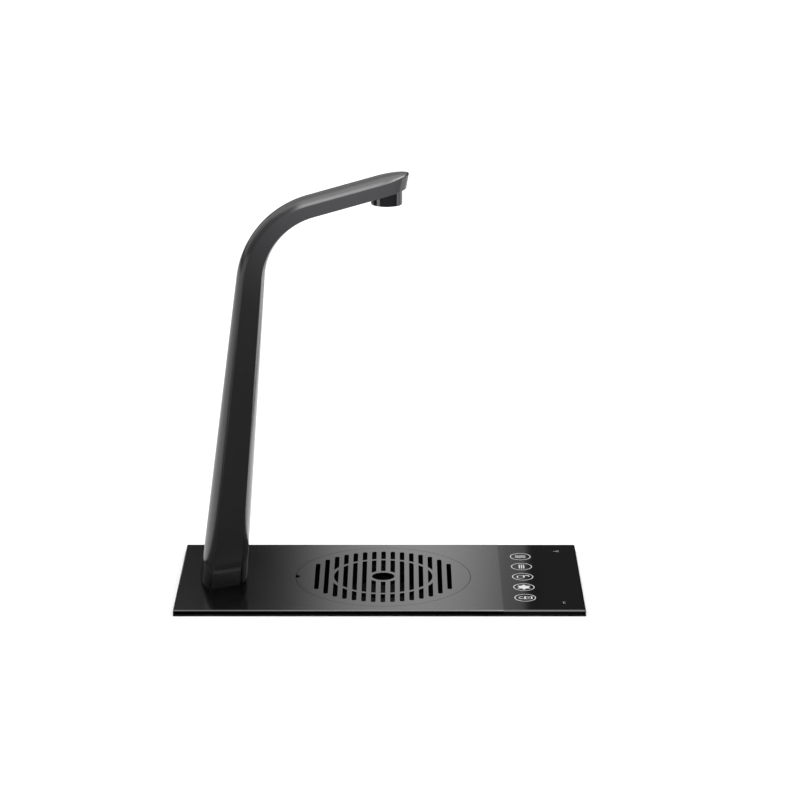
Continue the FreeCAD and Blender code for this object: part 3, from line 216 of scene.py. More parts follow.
# The sawn side faces take little light, so below the bevel they are painted dead black,
# darker than the faces that look up: painted shade.
normal = add(tree, "ShaderNodeNewGeometry").outputs["True Normal"]
rise = add(tree, "ShaderNodeSeparateXYZ", {"Vector": normal}).outputs["Z"]
painted_shade_mask = add(tree, "ShaderNodeMath", {0: rise, 1: 0.5}, operation="GREATER_THAN")
vary_colour(tree, shader, painted_shade_mask.outputs[0], "#020202", "#0b0b0c")

plate = bmesh.new()
join_loops(plate, slab_loops((PLATE_LEFT, PLATE_RIGHT), (PLATE_FRONT, PLATE_BACK),
                             (PLATE_LOW, DECK_TOP), (PLATE_BEVEL, 0.0, PLATE_BEVEL, PLATE_BEVEL),
                             ((GRILLE_X, 0.0), GRILLE_HOLE)), closed=True)
bmesh.ops.recalc_face_normals(plate, faces=plate.faces)
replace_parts(new_piece("metal_plate", plate, anodised), "deck_plate")

# ---------------------------------------------------------------- small screws and washer
# Pressed and turned steel, zinc plated: the countersunk screws of frame and housing,
# the claws and wing nuts that grip the worktop, and the washer under the shank's nut.
zinc, tree, shader, place = finish("zinc_plated_steel", Metallic=1.0, Base_Color=linear("#b9bcbf"))
# Barrel plating is a little cloudy, over about 3 mm.
rough = add(tree, "ShaderNodeTexNoise", {"Vector": place, "Scale": 1 / 0.003, "Detail": 3.0})
vary_roughness(tree, shader, rough.outputs["Fac"], 0.28, 0.42)
set_look(zinc, "plate_screws", "housing_screws", "clamp_claws", "wing_nuts", "shank_plate")

# ---------------------------------------------------------------- drip bowl
# Deep-drawn steel, enamelled black, so that nothing bright shows between the slots. Its
# flange lies in the frame under a flat ring, and its floor falls to a sump.
enamel, tree, shader, place = finish("black_enamelled_steel",
                                     Base_Color=linear("#020202"), Roughness=0.3)
# Fired enamel lies a little wavy, about 6 mm from crest to crest.
wavy = add(tree, "ShaderNodeTexNoise", {"Vector": place, "Scale": 1 / 0.006, "Detail": 2.0})
raise_relief(tree, shader, wavy.outputs["Fac"], 0.1, 0.0003)
set_look(enamel, "drip_bowl")

# ---------------------------------------------------------------- strainer, drain screw and waste
# A punched stainless strainer and its slotted screw, brushed to a soft shine, clamp the
# bowl on a waste with a ribbed hose tail, moulded in black nylon like the parts below.
stainless, tree, shader, place = finish("brushed_stainless_steel", Metallic=1.0,
                                        Base_Color=linear("#a8a8a6"))
# Brushing leaves streaks along X, drawn 0.3 mm apart, coarser than they are.
flat = add(tree, "ShaderNodeMapping", {"Vector": place, "Scale": (0.06, 1.0, 1.0)})
brush = add(tree, "ShaderNodeTexNoise",
            {"Vector": flat.outputs[0], "Scale": 1 / 0.0003, "Detail": 2.0})
vary_roughness(tree, shader, brush.outputs["Fac"], 0.22, 0.4)
set_look(stainless, "drain_strainer", "drain_screw")

nylon, tree, shader, place = finish("black_moulded_nylon",
                                    Base_Color=linear("#1c1c1e"), Roughness=0.5)
# The mould's spark-eroded grain, drawn 0.7 mm from pit to pit.
spark = add(tree, "ShaderNodeTexVoronoi", {"Vector": place, "Scale": 1 / 0.0007})
raise_relief(tree, shader, spark.outputs["Distance"], 0.25, 0.00008)
set_look(nylon, "waste_tail", "inlet_block", "touch_housing", "light_mask", "data_socket")

# ---------------------------------------------------------------- drip grille
# Cut from the same plate as the metal deck and anodised with it, so it matches. It lies
# flush on four rubber pads and lifts out by the notch at its rim.
# Its slot walls and rim are painted dead black with the plate's sides, as painted shade.
set_look(anodised, "drip_grille")

# ---------------------------------------------------------------- touch glass
# Float glass painted black on its back, its three free upper edges ground at 45 degrees
# and polished, lying flush with the metal beside it. It mirrors less than the metal
# does, so the joint between them shows.
GLASS_BEVEL = 0.94 * MM
JOINT = 0.02 * MM
(_, GLASS_FRONT, GLASS_LOW), (GLASS_RIGHT, GLASS_BACK, GLASS_TOP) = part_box("touch_glass")
glass, tree, shader, place = finish("black_backed_float_glass", Base_Color=linear("#0a0a0b"),
                                    IOR=1.52, Specular_IOR_Level=0.2)
# Wiping leaves the polish a touch uneven over 20 mm.
wipe = add(tree, "ShaderNodeTexNoise", {"Vector": place, "Scale": 1 / 0.02, "Detail": 3.0})
vary_roughness(tree, shader, wipe.outputs["Fac"], 0.01, 0.05)

pane = bmesh.new()
rows = join_loops(pane, slab_loops((PLATE_RIGHT + JOINT, GLASS_RIGHT), (GLASS_FRONT, GLASS_BACK),
                                   (GLASS_LOW, GLASS_TOP),
                                   (0.0, GLASS_BEVEL, GLASS_BEVEL, GLASS_BEVEL)))
pane.faces.new(rows[0])
pane.faces.new(rows[-1])
bmesh.ops.recalc_face_normals(pane, faces=pane.faces)
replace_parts(new_piece("glass_pane", pane, glass), "touch_glass")

# ---------------------------------------------------------------- printed buttons
# Five rings with signs, from front to back a padlock, a snowflake, a tap, still water
# and steam, and two small marks, screen-printed in pale ceramic ink and lit from below.
BUTTON_X = 110.4
BUTTON_Y = -1.1
BUTTON_PITCH = 23.9
BUTTON_RADIUS = 7.85
RING_WIDTH = 0.62
RING_SIDES = 64
INK_HEIGHT = 0.03
FUNNEL_PLACE = (139.3, 59.6)
CORNER_PLACE = (139.6, -59.8)

print_ink, tree, shader, place = finish("pale_ceramic_ink", Roughness=0.5)
# The screen's mesh shows as a very fine grain, 0.3 mm apart.
mesh_grain = add(tree, "ShaderNodeTexNoise", {"Vector": place, "Scale": 1 / 0.0003})
vary_colour(tree, shader, mesh_grain.outputs["Fac"], "#d8d8d8", "#c4c4c4")


def ribbon(mesh, points, width, closed=False):
    """A flat printed stroke along points given in millimetres from the sign's centre."""
    count = len(points)
    pairs = []
    for n, (x, y) in enumerate(points):
        before = points[n - 1] if closed or n else points[n]
        after = points[(n + 1) % count] if closed or n + 1 < count else points[n]
        along = Vector((after[0] - before[0], after[1] - before[1], 0)).normalized()
        side = Vector((-along.y, along.x, 0)) * width / 2
        pairs.append([mesh.verts.new(Vector((x, y, 0)) + side * s) for s in (1, -1)])
    for n in range(count if closed else count - 1):
        a, b = pairs[n], pairs[(n + 1) % count]
        mesh.faces.new((a[0], a[1], b[1], b[0]))


def arc(x, y, radius, start, end, steps=16):
    """Points round a centre, from one angle in degrees to another."""
    turns = [math.radians(mix(start, end, n / steps)) for n in range(steps + 1)]
    return [(x + radius * math.cos(turn), y + radius * math.sin(turn)) for turn in turns]


def wave(shift, length, height, turns, steps=24):
    """A wavy line along X, moved along Y."""
    return [(length * (n / steps - 0.5), shift + height * math.sin(2 * math.pi * turns * n / steps))
            for n in range(steps + 1)]


def padlock_sign(mesh):
    """An open padlock lying on its side, its shackle to the left."""
    ribbon(mesh, [(0, -2.9), (0, 2.9)], 1.2)
    ribbon(mesh, [(5.0, -2.9), (5.0, 2.9)], 1.0)
    for y in (-2.7, 2.7):
        ribbon(mesh, [(0.6, y), (4.4, y)], 0.6)
    ribbon(mesh, [(1.9, 0), (3.4, 0)], 1.1)
    ribbon(mesh, [(-1.6, 2.3)] + arc(-2.3, 0, 2.3, 90, 270, 12) + [(-0.6, -2.3)], 0.7)


def snowflake_sign(mesh):
    """Six stout arms, each with two twigs, filled as a fan from the centre."""
    rim = []
    for turn in range(30, 390, 60):
        way = Vector((math.cos(math.radians(turn)), math.sin(math.radians(turn)), 0))
        side = Vector((-way.y, way.x, 0))
        rim += [mesh.verts.new(way * out + side * across) for out, across in
                ((2.0, -1.15), (3.5, -1.75), (4.0, -0.85), (5.5, -0.6),
                 (5.5, 0.6), (4.0, 0.85), (3.5, 1.75))]
    hub = mesh.verts.new((0, 0, 0))
    for n, vert in enumerate(rim):
        mesh.faces.new((hub, vert, rim[(n + 1) % len(rim)]))


def tap_sign(mesh):
    """A tap lying on its side: a round-ended grip, a stem and a curved spout."""
    ribbon(mesh, [(-4.0, -2.4), (-4.0, 1.8)], 1.0)
    for y in (-3.4, 2.8):
        ribbon(mesh, [(-3.6, y), (0.4, y)], 0.5)
    ribbon(mesh, [(0.9, -1.8), (0.9, 3.2)], 1.2)
    ribbon(mesh, arc(2.6, 0.8, 2.3, 112, -10), 1.1)


def still_water_sign(mesh):
    """Three short upright strokes."""
    for shift in (-1.7, 0, 1.7):
        ribbon(mesh, [(shift, -4.4), (shift, 4.4)], 0.85)


def steam_sign(mesh):
    """Three waves, one above the other."""
    for shift in (-2.2, 0, 2.2):
        ribbon(mesh, wave(shift, 8.2, 0.35, 2.0), 0.75)


def funnel_mark(mesh):
    """A small mark near the back corner: a stem and two bars."""
    ribbon(mesh, [(-2.4, 0), (0.2, 0)], 0.36)
    ribbon(mesh, [(0.3, -1.2), (0.3, 1.2)], 0.3)
    ribbon(mesh, [(1.6, -1.9), (1.6, 1.9)], 0.35)


def corner_mark(mesh):
    """A small square-cornered mark near the front corner."""
    ribbon(mesh, [(0.9, 1.4), (-0.5, 1.4)], 0.36)
    ribbon(mesh, [(-0.7, 1.65), (-0.7, -1.65)], 0.3)
    ribbon(mesh, [(0.9, -1.4), (-0.5, -1.4)], 0.36)


prints = [("padlock", padlock_sign), ("snowflake", snowflake_sign), ("tap", tap_sign),
          ("still_water", still_water_sign), ("steam", steam_sign)]
places = [(BUTTON_X, BUTTON_Y + (row - 2) * BUTTON_PITCH) for row in range(5)]
for (name, draw), (x, y) in zip(prints + [("funnel", funnel_mark), ("corner", corner_mark)],
                                places + [FUNNEL_PLACE, CORNER_PLACE]):
    sign = bmesh.new()
    if (x, y) in places:
        last = 360 * (RING_SIDES - 1) / RING_SIDES
        ribbon(sign, arc(0, 0, BUTTON_RADIUS, 0, last, RING_SIDES - 1), RING_WIDTH, closed=True)
    draw(sign)
    sign.normal_update()
    for face in sign.faces:
        if face.normal.z < 0:
            face.normal_flip()
    bmesh.ops.translate(sign, verts=sign.verts, vec=(x, y, INK_HEIGHT))
    bmesh.ops.scale(sign, verts=sign.verts, vec=(MM, MM, MM))
    bmesh.ops.translate(sign, verts=sign.verts, vec=(0, 0, GLASS_TOP))
    new_piece(f"printed_{name}", sign, print_ink)

# ---------------------------------------------------------------- touch board and lamps
# Glass-fibre circuit board under green resist, with five small lamps in clear yellowish
# resin. The mask, the socket, the tub and its screws have their finishes above.
resist, tree, shader, place = finish("green_solder_resist", Roughness=0.3)
# Copper tracks 1 mm wide lie under the resist, drawn as the edges of 6 mm cells.
tracks = add(tree, "ShaderNodeTexVoronoi", {"Vector": place, "Scale": 1 / 0.006},
             distance="MANHATTAN")
edge = add(tree, "ShaderNodeMath", {0: tracks.outputs["Distance"], 1: 0.45},
           operation="GREATER_THAN")
vary_colour(tree, shader, edge.outputs[0], "#0f4a26", "#1f6b36")
set_look(resist, "touch_board")

resin, tree, shader, place = finish("lamp_resin", Roughness=0.3)
# The phosphor shows through the resin as paler and yellower spots 0.8 mm across.
dome = add(tree, "ShaderNodeTexNoise", {"Vector": place, "Scale": 1 / 0.0008})
vary_colour(tree, shader, dome.outputs["Fac"], "#f2f0e2", "#e8e0a8")
set_look(resin, "icon_lights")

# ---------------------------------------------------------------- column and spout
# One brass casting, ground smooth and sprayed with a satin black lacquer. Two flat sides
# draw together towards the inside of the bend, with a full crown outside and a shallow
# one inside. The outer edge is softly rounded, the inner one is crisp.
FOOT_X, FOOT_WIDTH = -121.1, 35.8
BEND_X, BEND_HEIGHT = -34.2, 233.0
SPOUT_RISE = 15.9
FULL_TURN = 90 - SPOUT_RISE
BEND_LEAD = 5.0
SPOUT_REACH, TIP_LENGTH, TIP_LEAN = 53.4, 23.9, 26.0
# Half depths along Y at the outer and the inner edge, and how far each crown stands out.
FOOT_DEPTH, FOOT_INNER_DEPTH, FOOT_CROWN, FOOT_INNER_CROWN = 29.5, 19.5, 9.0, 4.3
BEND_DEPTH, BEND_CROWN, BEND_INNER_CROWN = 14.4, 6.3, 2.1
SPOUT_DEPTH, SPOUT_CROWN, SPOUT_INNER_CROWN = 14.0, 5.1, 1.7
EDGE_RADIUS = 2.0
CRISP_SHARE = 0.2
# Radii of the bend at its foot end and at its spout end.
OUTER_LOW, OUTER_HIGH, INNER_LOW, INNER_HIGH = 74.1, 70.9, 52.1, 54.5
COLUMN_STEPS, BEND_STEPS, SPOUT_STEPS = 12, 40, 6
CROWN_STEPS, EDGE_STEPS, SIDE_FLAT_STEPS, INNER_CROWN_STEPS = 16, 6, 3, 12
TIP_ANGLES = (6, 12, 18, 24, 30, 36, 42, 48, 54, 60, 65, 70, 75, 79, 83, 86, 88.5)

lacquer, tree, shader, place = finish("satin_black_lacquer", IOR=1.5)
# Orange peel of sprayed lacquer, about 1.2 mm from crest to crest and hardly raised.
peel = add(tree, "ShaderNodeTexNoise", {"Vector": place, "Scale": 1 / 0.0012, "Detail": 2.0})
raise_relief(tree, shader, peel.outputs["Fac"], 0.05, 0.0002)
cloud = add(tree, "ShaderNodeTexNoise", {"Vector": place, "Scale": 1 / 0.03, "Detail": 3.0})
vary_roughness(tree, shader, cloud.outputs["Fac"], 0.18, 0.22)
vary_colour(tree, shader, cloud.outputs["Fac"], "#202021", "#242425")


def section(outer, inner, half_depth, inner_half_depth, crown, inner_crown, corner):
    """Points round one cross-section, in millimetres: x from outside to inside, then y."""
    big = (half_depth ** 2 + crown ** 2) / (2 * crown)
    small = (inner_half_depth ** 2 + inner_crown ** 2) / (2 * inner_crown)
    big_x, small_x = -outer + big, -inner - small
    corner_y = half_depth - corner
    corner_x = big_x - math.sqrt((big - corner) ** 2 - corner_y ** 2)
    edge_x = small_x + math.sqrt(small ** 2 - inner_half_depth ** 2)
    swing = math.atan2(corner_y, big_x - corner_x)
    across, down = edge_x - corner_x, inner_half_depth - corner_y
    touch = math.atan2(down, across) + math.acos(corner / math.hypot(across, down))
    half = [(big_x - big * math.cos(swing * n / CROWN_STEPS),
             big * math.sin(swing * n / CROWN_STEPS)) for n in range(CROWN_STEPS + 1)]
    half += [(corner_x + corner * math.cos(angle), corner_y + corner * math.sin(angle))
             for angle in (mix(math.pi - swing, touch, n / EDGE_STEPS)
                           for n in range(1, EDGE_STEPS + 1))]
    crisp = CRISP_SHARE * corner
    flat_x, flat_y = half[-1]
    half += [(mix(flat_x, edge_x - crisp, n / SIDE_FLAT_STEPS),
              mix(flat_y, inner_half_depth, n / SIDE_FLAT_STEPS))
             for n in range(1, SIDE_FLAT_STEPS + 1)]
    half += [(edge_x - 0.3 * crisp, inner_half_depth - 0.15 * crisp),
             (edge_x + 0.1 * crisp, inner_half_depth - 0.9 * crisp)]
    reach = math.asin(inner_half_depth / small) * (1 - 1.6 * crisp / inner_half_depth)
    half += [(small_x + small * math.cos(angle), small * math.sin(angle))
             for angle in (reach * (1 - n / INNER_CROWN_STEPS)
                           for n in range(1, INNER_CROWN_STEPS + 1))]
    return half + [(x, -y) for x, y in reversed(half[1:-1])]


def stand_up(points, x, z, turn):
    """Section points stood at a place in the tap's plane, turned about Y, in metres."""
    angle = math.radians(turn)
    return [Vector(((x + px * math.cos(angle)) * MM, py * MM,
                    DECK_TOP + (z - px * math.sin(angle)) * MM)) for px, py in points]


def bend_ring(share, along=0.0):
    """A section round the bend, or further along the straight spout."""
    turn = mix(BEND_LEAD, FULL_TURN, share)
    swing = math.sin(math.radians(turn)) / math.sin(math.radians(FULL_TURN))
    depth = mix(BEND_DEPTH, SPOUT_DEPTH, share)
    points = section(mix(OUTER_LOW, OUTER_HIGH, swing), mix(INNER_LOW, INNER_HIGH, swing),
                     depth, depth, mix(BEND_CROWN, SPOUT_CROWN, share),
                     mix(BEND_INNER_CROWN, SPOUT_INNER_CROWN, share), EDGE_RADIUS)
    rise = math.radians(SPOUT_RISE)
    return stand_up(points, BEND_X + along * math.cos(rise),
                    BEND_HEIGHT + along * math.sin(rise), turn)


def tip_ring(angle):
    """A section of the rounded tip, leaning back under its upper edge."""
    share, swing = math.cos(math.radians(angle)), math.sin(math.radians(angle))
    lean, turn = TIP_LEAN * swing, math.radians(FULL_TURN)
    crease, along = OUTER_HIGH - SPOUT_CROWN, SPOUT_REACH + TIP_LENGTH * swing
    thickness = OUTER_HIGH - INNER_HIGH - SPOUT_CROWN - SPOUT_INNER_CROWN
    flat = thickness / math.cos(math.radians(lean))
    points = section(SPOUT_CROWN * share, -(flat + SPOUT_INNER_CROWN * share), SPOUT_DEPTH * share,
                     SPOUT_DEPTH * share, SPOUT_CROWN * share, SPOUT_INNER_CROWN * share,
                     EDGE_RADIUS * share)
    return stand_up(points, BEND_X - crease * math.cos(turn) + along * math.sin(turn),
                    BEND_HEIGHT + crease * math.sin(turn) + along * math.cos(turn),
                    FULL_TURN + lean)


foot = stand_up(section(FOOT_WIDTH / 2 - FOOT_X, -FOOT_WIDTH / 2 - FOOT_X, FOOT_DEPTH,
                        FOOT_INNER_DEPTH, FOOT_CROWN, FOOT_INNER_CROWN, EDGE_RADIUS), 0, 0, 0)
rings = [[low.lerp(high, n / COLUMN_STEPS) for low, high in zip(foot, bend_ring(0))]
         for n in range(COLUMN_STEPS)]
rings += [bend_ring(n / BEND_STEPS) for n in range(BEND_STEPS + 1)]
rings += [bend_ring(1.0, SPOUT_REACH * n / SPOUT_STEPS) for n in range(1, SPOUT_STEPS + 1)]
rings += [tip_ring(angle) for angle in TIP_ANGLES]
casting = bmesh.new()
rows = join_loops(casting, rings)
casting.faces.new(rows[0])
casting.faces.new(rows[-1])
bmesh.ops.recalc_face_normals(casting, faces=casting.faces)
for face in casting.faces:
    face.smooth = len(face.verts) == 4
tap = new_piece("tap_casting", casting, lacquer)
tap.modifiers.new("even_normals", "WEIGHTED_NORMAL")
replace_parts(tap, "tap_body")

# ---------------------------------------------------------------- threaded shank and its nut
# Brass tube with a rolled outside thread, screwed up into the tap's foot and held under
# the worktop by a six-sided nut. Both are machined from bar and left bare.
SHANK_RADIUS = 13.5
SHANK_BORE = 11.0
SHANK_PITCH = 1.5
SHANK_FACETS = 40
# How deep a thread is cut, as a share of its pitch, and the rings drawn for each turn.
THREAD_DEPTH = 0.6
RINGS_PER_TURN = 6

brass, tree, shader, place = finish("machined_brass", Metallic=1.0)
# Bare brass tarnishes in cloudy patches about 12 mm across.
tarnish = add(tree, "ShaderNodeTexNoise", {"Vector": place, "Scale": 1 / 0.012, "Detail": 4.0})
vary_colour(tree, shader, tarnish.outputs["Fac"], "#c9a45c", "#a07c3e")
vary_roughness(tree, shader, tarnish.outputs["Fac"], 0.25, 0.4)


def thread(mesh, x, y, z, radius, pitch, facets, bore=0.0):
    """A rod with a real screw thread between two heights, closed or bored through."""
    depth = THREAD_DEPTH * pitch
    steps = round((z[1] - z[0]) / pitch * RINGS_PER_TURN)
    loops = []
    for n in range(steps + 1):
        height = mix(z[0], z[1], n / steps)
        fade = min(1.0, (height - z[0]) / pitch, (z[1] - height) / pitch)
        loop = []
        for m in range(facets):
            crest = 1 - abs(2 * ((height / pitch - m / facets) % 1) - 1)
            out = radius - depth * (1 - crest * fade)
            angle = 2 * math.pi * m / facets
            loop.append(((x + out * math.cos(angle)) * MM, (y + out * math.sin(angle)) * MM,
                         height * MM))
        loops.append(loop)
    if bore:
        for height in reversed(z):
            loops.append([((x + bore * math.cos(2 * math.pi * m / facets)) * MM,
                           (y + bore * math.sin(2 * math.pi * m / facets)) * MM, height * MM)
                          for m in range(facets)])
    rows = join_loops(mesh, loops, closed=bool(bore))
    if not bore:
        mesh.faces.new(rows[0])
        mesh.faces.new(rows[-1])


shank_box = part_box("tap_shank")
shank = bmesh.new()
thread(shank, FOOT_X, 0, (shank_box[0][2] / MM, shank_box[1][2] / MM), SHANK_RADIUS, SHANK_PITCH,
       SHANK_FACETS, SHANK_BORE)
bmesh.ops.recalc_face_normals(shank, faces=shank.faces)
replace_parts(new_piece("threaded_shank", shank, brass), "tap_shank")
set_look(brass, "shank_nut")

# ---------------------------------------------------------------- water tubes
# Extruded white cross-linked polyethylene, one tube each for boiling, chilled and mixed
# water, pushed into the block at the shank's end and led up the hollow column.
tubing, tree, shader, place = finish("white_polyethylene_tube", Roughness=0.35)
# Extrusion leaves faint milky streaks about 10 mm long.
streak = add(tree, "ShaderNodeTexNoise", {"Vector": place, "Scale": 1 / 0.01, "Detail": 2.0})
vary_colour(tree, shader, streak.outputs["Fac"], "#e2e1dc", "#d2d1cb")
set_look(tubing, "boiling_tube", "chilled_tube", "mixed_tube")

# ---------------------------------------------------------------- flow straightener and ports
# Injection-moulded grey acetal: the disc of small channels pushed up into the outlet, and
# the three push-in collars that take the supply hoses.
acetal, tree, shader, place = finish("grey_acetal", Base_Color=linear("#7d7d80"), Roughness=0.45)
# A moulded skin with a fine 0.5 mm grain.
grain = add(tree, "ShaderNodeTexNoise", {"Vector": place, "Scale": 1 / 0.0005, "Detail": 2.0})
raise_relief(tree, shader, grain.outputs["Fac"], 0.1, 0.00005)
set_look(acetal, "outlet_insert", "inlet_ports")

# ---------------------------------------------------------------- outlet sleeve
# Turned brass in a black like the casting's but glossier; its base is painted darker than
# the casting's, as painted shade that keeps the spout's spot from lifting it. It is screwed
# up into the spout against a rubber ring, and holds the flow straightener.
turned, tree, shader, place = finish("gloss_black_turned_sleeve_painted_shade",
                                     Base_Color=linear("#0c0c0d"), IOR=1.5)
# Turning marks run round the sleeve: rings 0.8 mm apart up its height, drawn coarser
# than they are. Blender's wave turns through 20 radians in one unit.
WAVE_RADIANS = 20
marks = add(tree, "ShaderNodeTexWave",
            {"Vector": place, "Scale": 2 * math.pi / WAVE_RADIANS / 0.0008, "Distortion": 0.3},
            bands_direction="Z")
vary_roughness(tree, shader, marks.outputs["Fac"], 0.05, 0.07)
set_look(turned, "outlet_sleeve")

# ---------------------------------------------------------------- fixing studs
# Four M6 studs, zinc plated and welded under the frame. Each carries a claw and a wing
# nut, which clamp the plate to the worktop from below.
STUD_RADIUS = 3.0
STUD_PITCH = 1.0
STUD_FACETS = 16
stud_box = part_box("fixing_studs")
studs = bmesh.new()
for x in (stud_box[0][0] / MM + STUD_RADIUS, stud_box[1][0] / MM - STUD_RADIUS):
    for y in (stud_box[0][1] / MM + STUD_RADIUS, stud_box[1][1] / MM - STUD_RADIUS):
        thread(studs, x, y, (stud_box[0][2] / MM, stud_box[1][2] / MM), STUD_RADIUS, STUD_PITCH,
               STUD_FACETS)
bmesh.ops.recalc_face_normals(studs, faces=studs.faces)
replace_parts(new_piece("threaded_studs", studs, zinc), "fixing_studs")

# ---------------------------------------------------------------- worktop
# A pale, evenly lit worktop with the cut-out that the plate covers. It is scenery, and
# gloss sees cards in its place.
pale, tree, shader, place = finish("pale_worktop", Roughness=0.8)
# Hardly seen mottling, 60 mm across.
mottle = add(tree, "ShaderNodeTexNoise", {"Vector": place, "Scale": 1 / 0.06, "Detail": 2.0})
vary_colour(tree, shader, mottle.outputs["Fac"], "#f8f8f8", "#fafafa")
CUTOUT_HALF = (0.1515, 0.0732)
WORKTOP_REACH = 14.0
worktop = bmesh.new()
square = ((-1, -1), (1, -1), (1, 1), (-1, 1))
join_loops(worktop, [[(x * WORKTOP_REACH, y * WORKTOP_REACH, 0) for x, y in square],
                     [(x * CUTOUT_HALF[0], y * CUTOUT_HALF[1], 0) for x, y in square]])
data = bpy.data.meshes.new("worktop")
worktop.to_mesh(data)
worktop.free()
data.materials.append(pale)
floor = bpy.data.objects.new("worktop", data)
bpy.context.scene.collection.objects.link(floor)
floor.visible_glossy = False

# ---------------------------------------------------------------- studio light
# A white room lights everything evenly. What the gloss shows is set by cards and
# softboxes round the object, as a photographer sets them for a black product.
world = bpy.data.worlds.new("white_room")
world.use_nodes = True
world.node_tree.nodes["Background"].inputs["Color"].default_value = (1, 1, 1, 1)
world.node_tree.nodes["Background"].inputs["Strength"].default_value = 1.3
world.cycles_visibility.glossy = False
bpy.context.scene.world = world


def card(name, corners, stops, axis="X"):
    """A reflector that only gloss sees: its light along an axis, as stops of place and strength.

    Places are in metres. The light runs softly from stop to stop.
    """
    light = bpy.data.materials.new(name + "_light")
    light.use_nodes = True
    tree = light.node_tree
    tree.nodes.clear()
    low, high = stops[0][0], stops[-1][0]
    peak = max(strength for spot, strength in stops)
    place = add(tree, "ShaderNodeTexCoord").outputs["Object"]
    along = add(tree, "ShaderNodeSeparateXYZ", {"Vector": place}).outputs[axis]
    share = add(tree, "ShaderNodeMapRange", {"Value": along, "From Min": low, "From Max": high})
    ramp = add(tree, "ShaderNodeValToRGB", {"Fac": share.outputs["Result"]})
    ramp.color_ramp.interpolation = "B_SPLINE"
    for _ in stops[2:]:
        ramp.color_ramp.elements.new(0.5)
    for element, (spot, strength) in zip(ramp.color_ramp.elements, stops):
        element.position = (spot - low) / (high - low)
        element.color = (strength / peak,) * 3 + (1,)
    glow = add(tree, "ShaderNodeEmission", {"Color": ramp.outputs["Color"], "Strength": peak})
    add(tree, "ShaderNodeOutputMaterial", {"Surface": glow.outputs[0]})
    sheet = bpy.data.meshes.new(name)
    sheet.from_pydata(corners, [], [(0, 1, 2, 3)])
    sheet.materials.append(light)
    board = bpy.data.objects.new(name, sheet)
    bpy.context.scene.collection.objects.link(board)
    board.visible_camera = False
    board.visible_diffuse = False
    board.visible_shadow = False


def upright(left, right, low, high):
    """A standing sheet between two plan points."""
    return [(*left, low), (*right, low), (*right, high), (*left, high)]


def level(x, y, z):
    """A lying sheet."""
    return [(x[0], y[0], z), (x[1], y[0], z), (x[1], y[1], z), (x[0], y[1], z)]


# The back wall as the plate shows it: a softbox behind the grille, its right edge sharp.
BACK = 1.5
card("back_softbox", upright((-0.45, BACK), (0.5, BACK), 0.03, 0.69),
     [(-0.45, 0.10), (-0.3, 0.09), (-0.25, 0.08), (-0.215, 0.03), (-0.175, 0.02), (-0.145, 0.07),
      (-0.12, 0.22), (-0.095, 0.50), (-0.067, 0.82), (-0.03, 1.07), (0.01, 1.33), (0.05, 1.35),
      (0.075, 1.27), (0.1, 1.08), (0.125, 0.86), (0.148, 0.60), (0.153, 0.56), (0.163, 0.53),
      (0.176, 0.42), (0.179, 0.40), (0.183, 0.10), (0.19, 0.06), (0.2, 0.08), (0.5, 0.08)])
card("upper_back", upright((-1.2, BACK), (0.5, BACK), 0.69, 1.3), [(-1.2, 0.7), (0.5, 0.7)])
# The worktop as gloss sees it: dark in front of the plate and bright behind it.
LOW = 0.0005
card("left_floor", [(-4, 1.25, LOW), (-0.157, 0.04, LOW), (-0.157, 3, LOW), (-4, 3, LOW)],
     [(-4, 0.85), (-0.157, 0.85)])
card("right_floor", level((0.2, 4), (-0.3, 3), LOW), [(0.2, 1.4), (4, 1.4)])
card("back_floor", level((-0.157, 0.15), (0.079, 3), LOW), [(-0.157, 1.4), (0.15, 1.4)])
card("front_floor", level((-2, 2), (-4, -0.6), LOW), [(-4, 0.1), (-0.6, 0.02)], "Y")
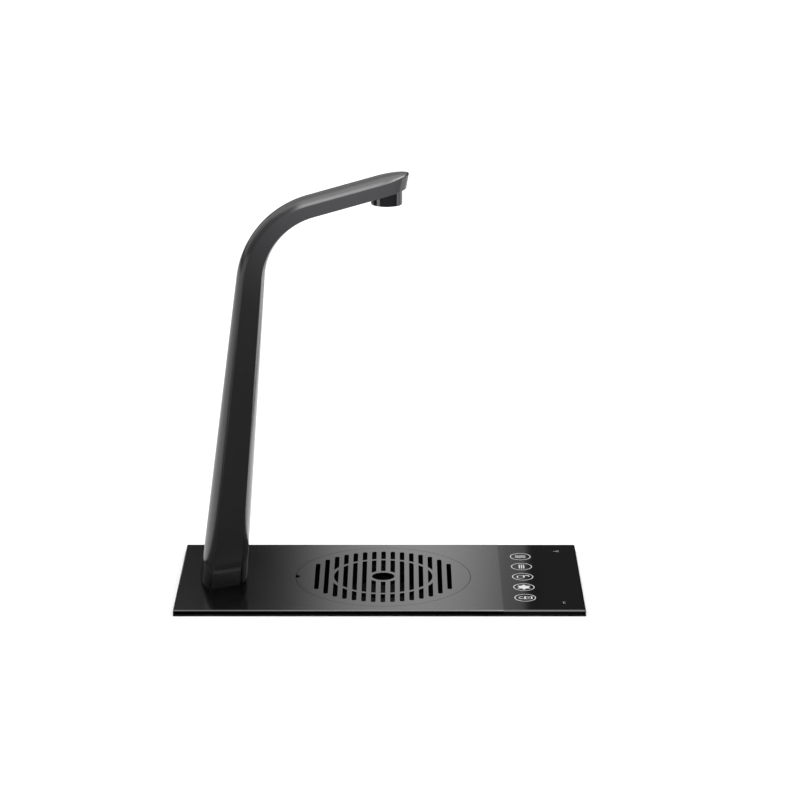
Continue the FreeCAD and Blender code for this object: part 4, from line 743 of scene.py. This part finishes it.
# Two strips beside the outlet, for the upright lights on its sleeve.
card("left_strip", level((-1.4, -0.95), (-0.9, -0.36), 2 * LOW), [(-1.4, 3.2), (-0.95, 3.2)])
card("right_strip", level((1.1, 1.5), (-0.2, 0.12), 2 * LOW), [(1.1, 2.6), (1.5, 2.6)])
# Overhead softboxes, for the spout's ridge and the bevels along the front. The glass
# mirrors less than the metal, so its end of the row is stronger.
UPPER = 1.6
card("overhead", level((-0.8, 0.8), (-1.2, 0.3), UPPER),
     [(-0.8, 6.2), (-0.35, 6.2), (-0.25, 2.5), (-0.19, 2.5), (-0.05, 6.6), (0.0, 7.6), (0.04, 7.0),
      (0.08, 4.4), (0.117, 1.8), (0.1212, 2.0), (0.1232, 11.6), (0.14, 11.3), (0.8, 11.3)])
card("front_overhead", level((-0.8, 0.8), (-2.6, -1.2), UPPER), [(-0.8, 5.8), (0.8, 5.8)])
card("rear_overhead", level((-0.8, 0.8), (0.3, 0.9), UPPER), [(-0.8, 2.4), (0.8, 2.4)])
card("high_back", [(-1.6, 1.2, 1.25), (0.6, 1.2, 1.25), (0.6, 0.9, 2.2), (-1.6, 0.9, 2.2)],
     [(-1.6, 1.1), (0.6, 1.1)])
# Softboxes that the plate shows from its corners and its right end.
card("back_left_softbox", upright((-1.5, 0.7), (-0.75, 1.45), 0.35, 1.2),
     [(-1.5, 0.3), (-0.75, 1.0)])
card("front_right_softbox", upright((1.5, -0.7), (0.7, -1.5), 0.15, 0.9),
     [(0.7, 0.3), (1.5, 1.0)])
card("left_softbox", upright((-1.6, -0.5), (-1.6, 0.6), 0.02, 0.5), [(-0.5, 0.3), (0.6, 1.0)], "Y")

# A snooted spot on the spout's side, soft at its edge, so that the column stays darker.
spot = bpy.data.lights.new("spout_spot", "SPOT")
spot.energy = 265.0
spot.spot_size = math.radians(10.5)
spot.spot_blend = 0.9
spot.shadow_soft_size = 0.05
SPOT_PLACE, SPOT_AIM = Vector((0.05, -1.2, 0.55)), Vector((-0.03, 0.0, 0.334))
lamp = bpy.data.objects.new("spout_spot", spot)
lamp.location = SPOT_PLACE
lamp.rotation_euler = (SPOT_AIM - SPOT_PLACE).to_track_quat("-Z", "Y").to_euler()
lamp.visible_glossy = False
bpy.context.scene.collection.objects.link(lamp)
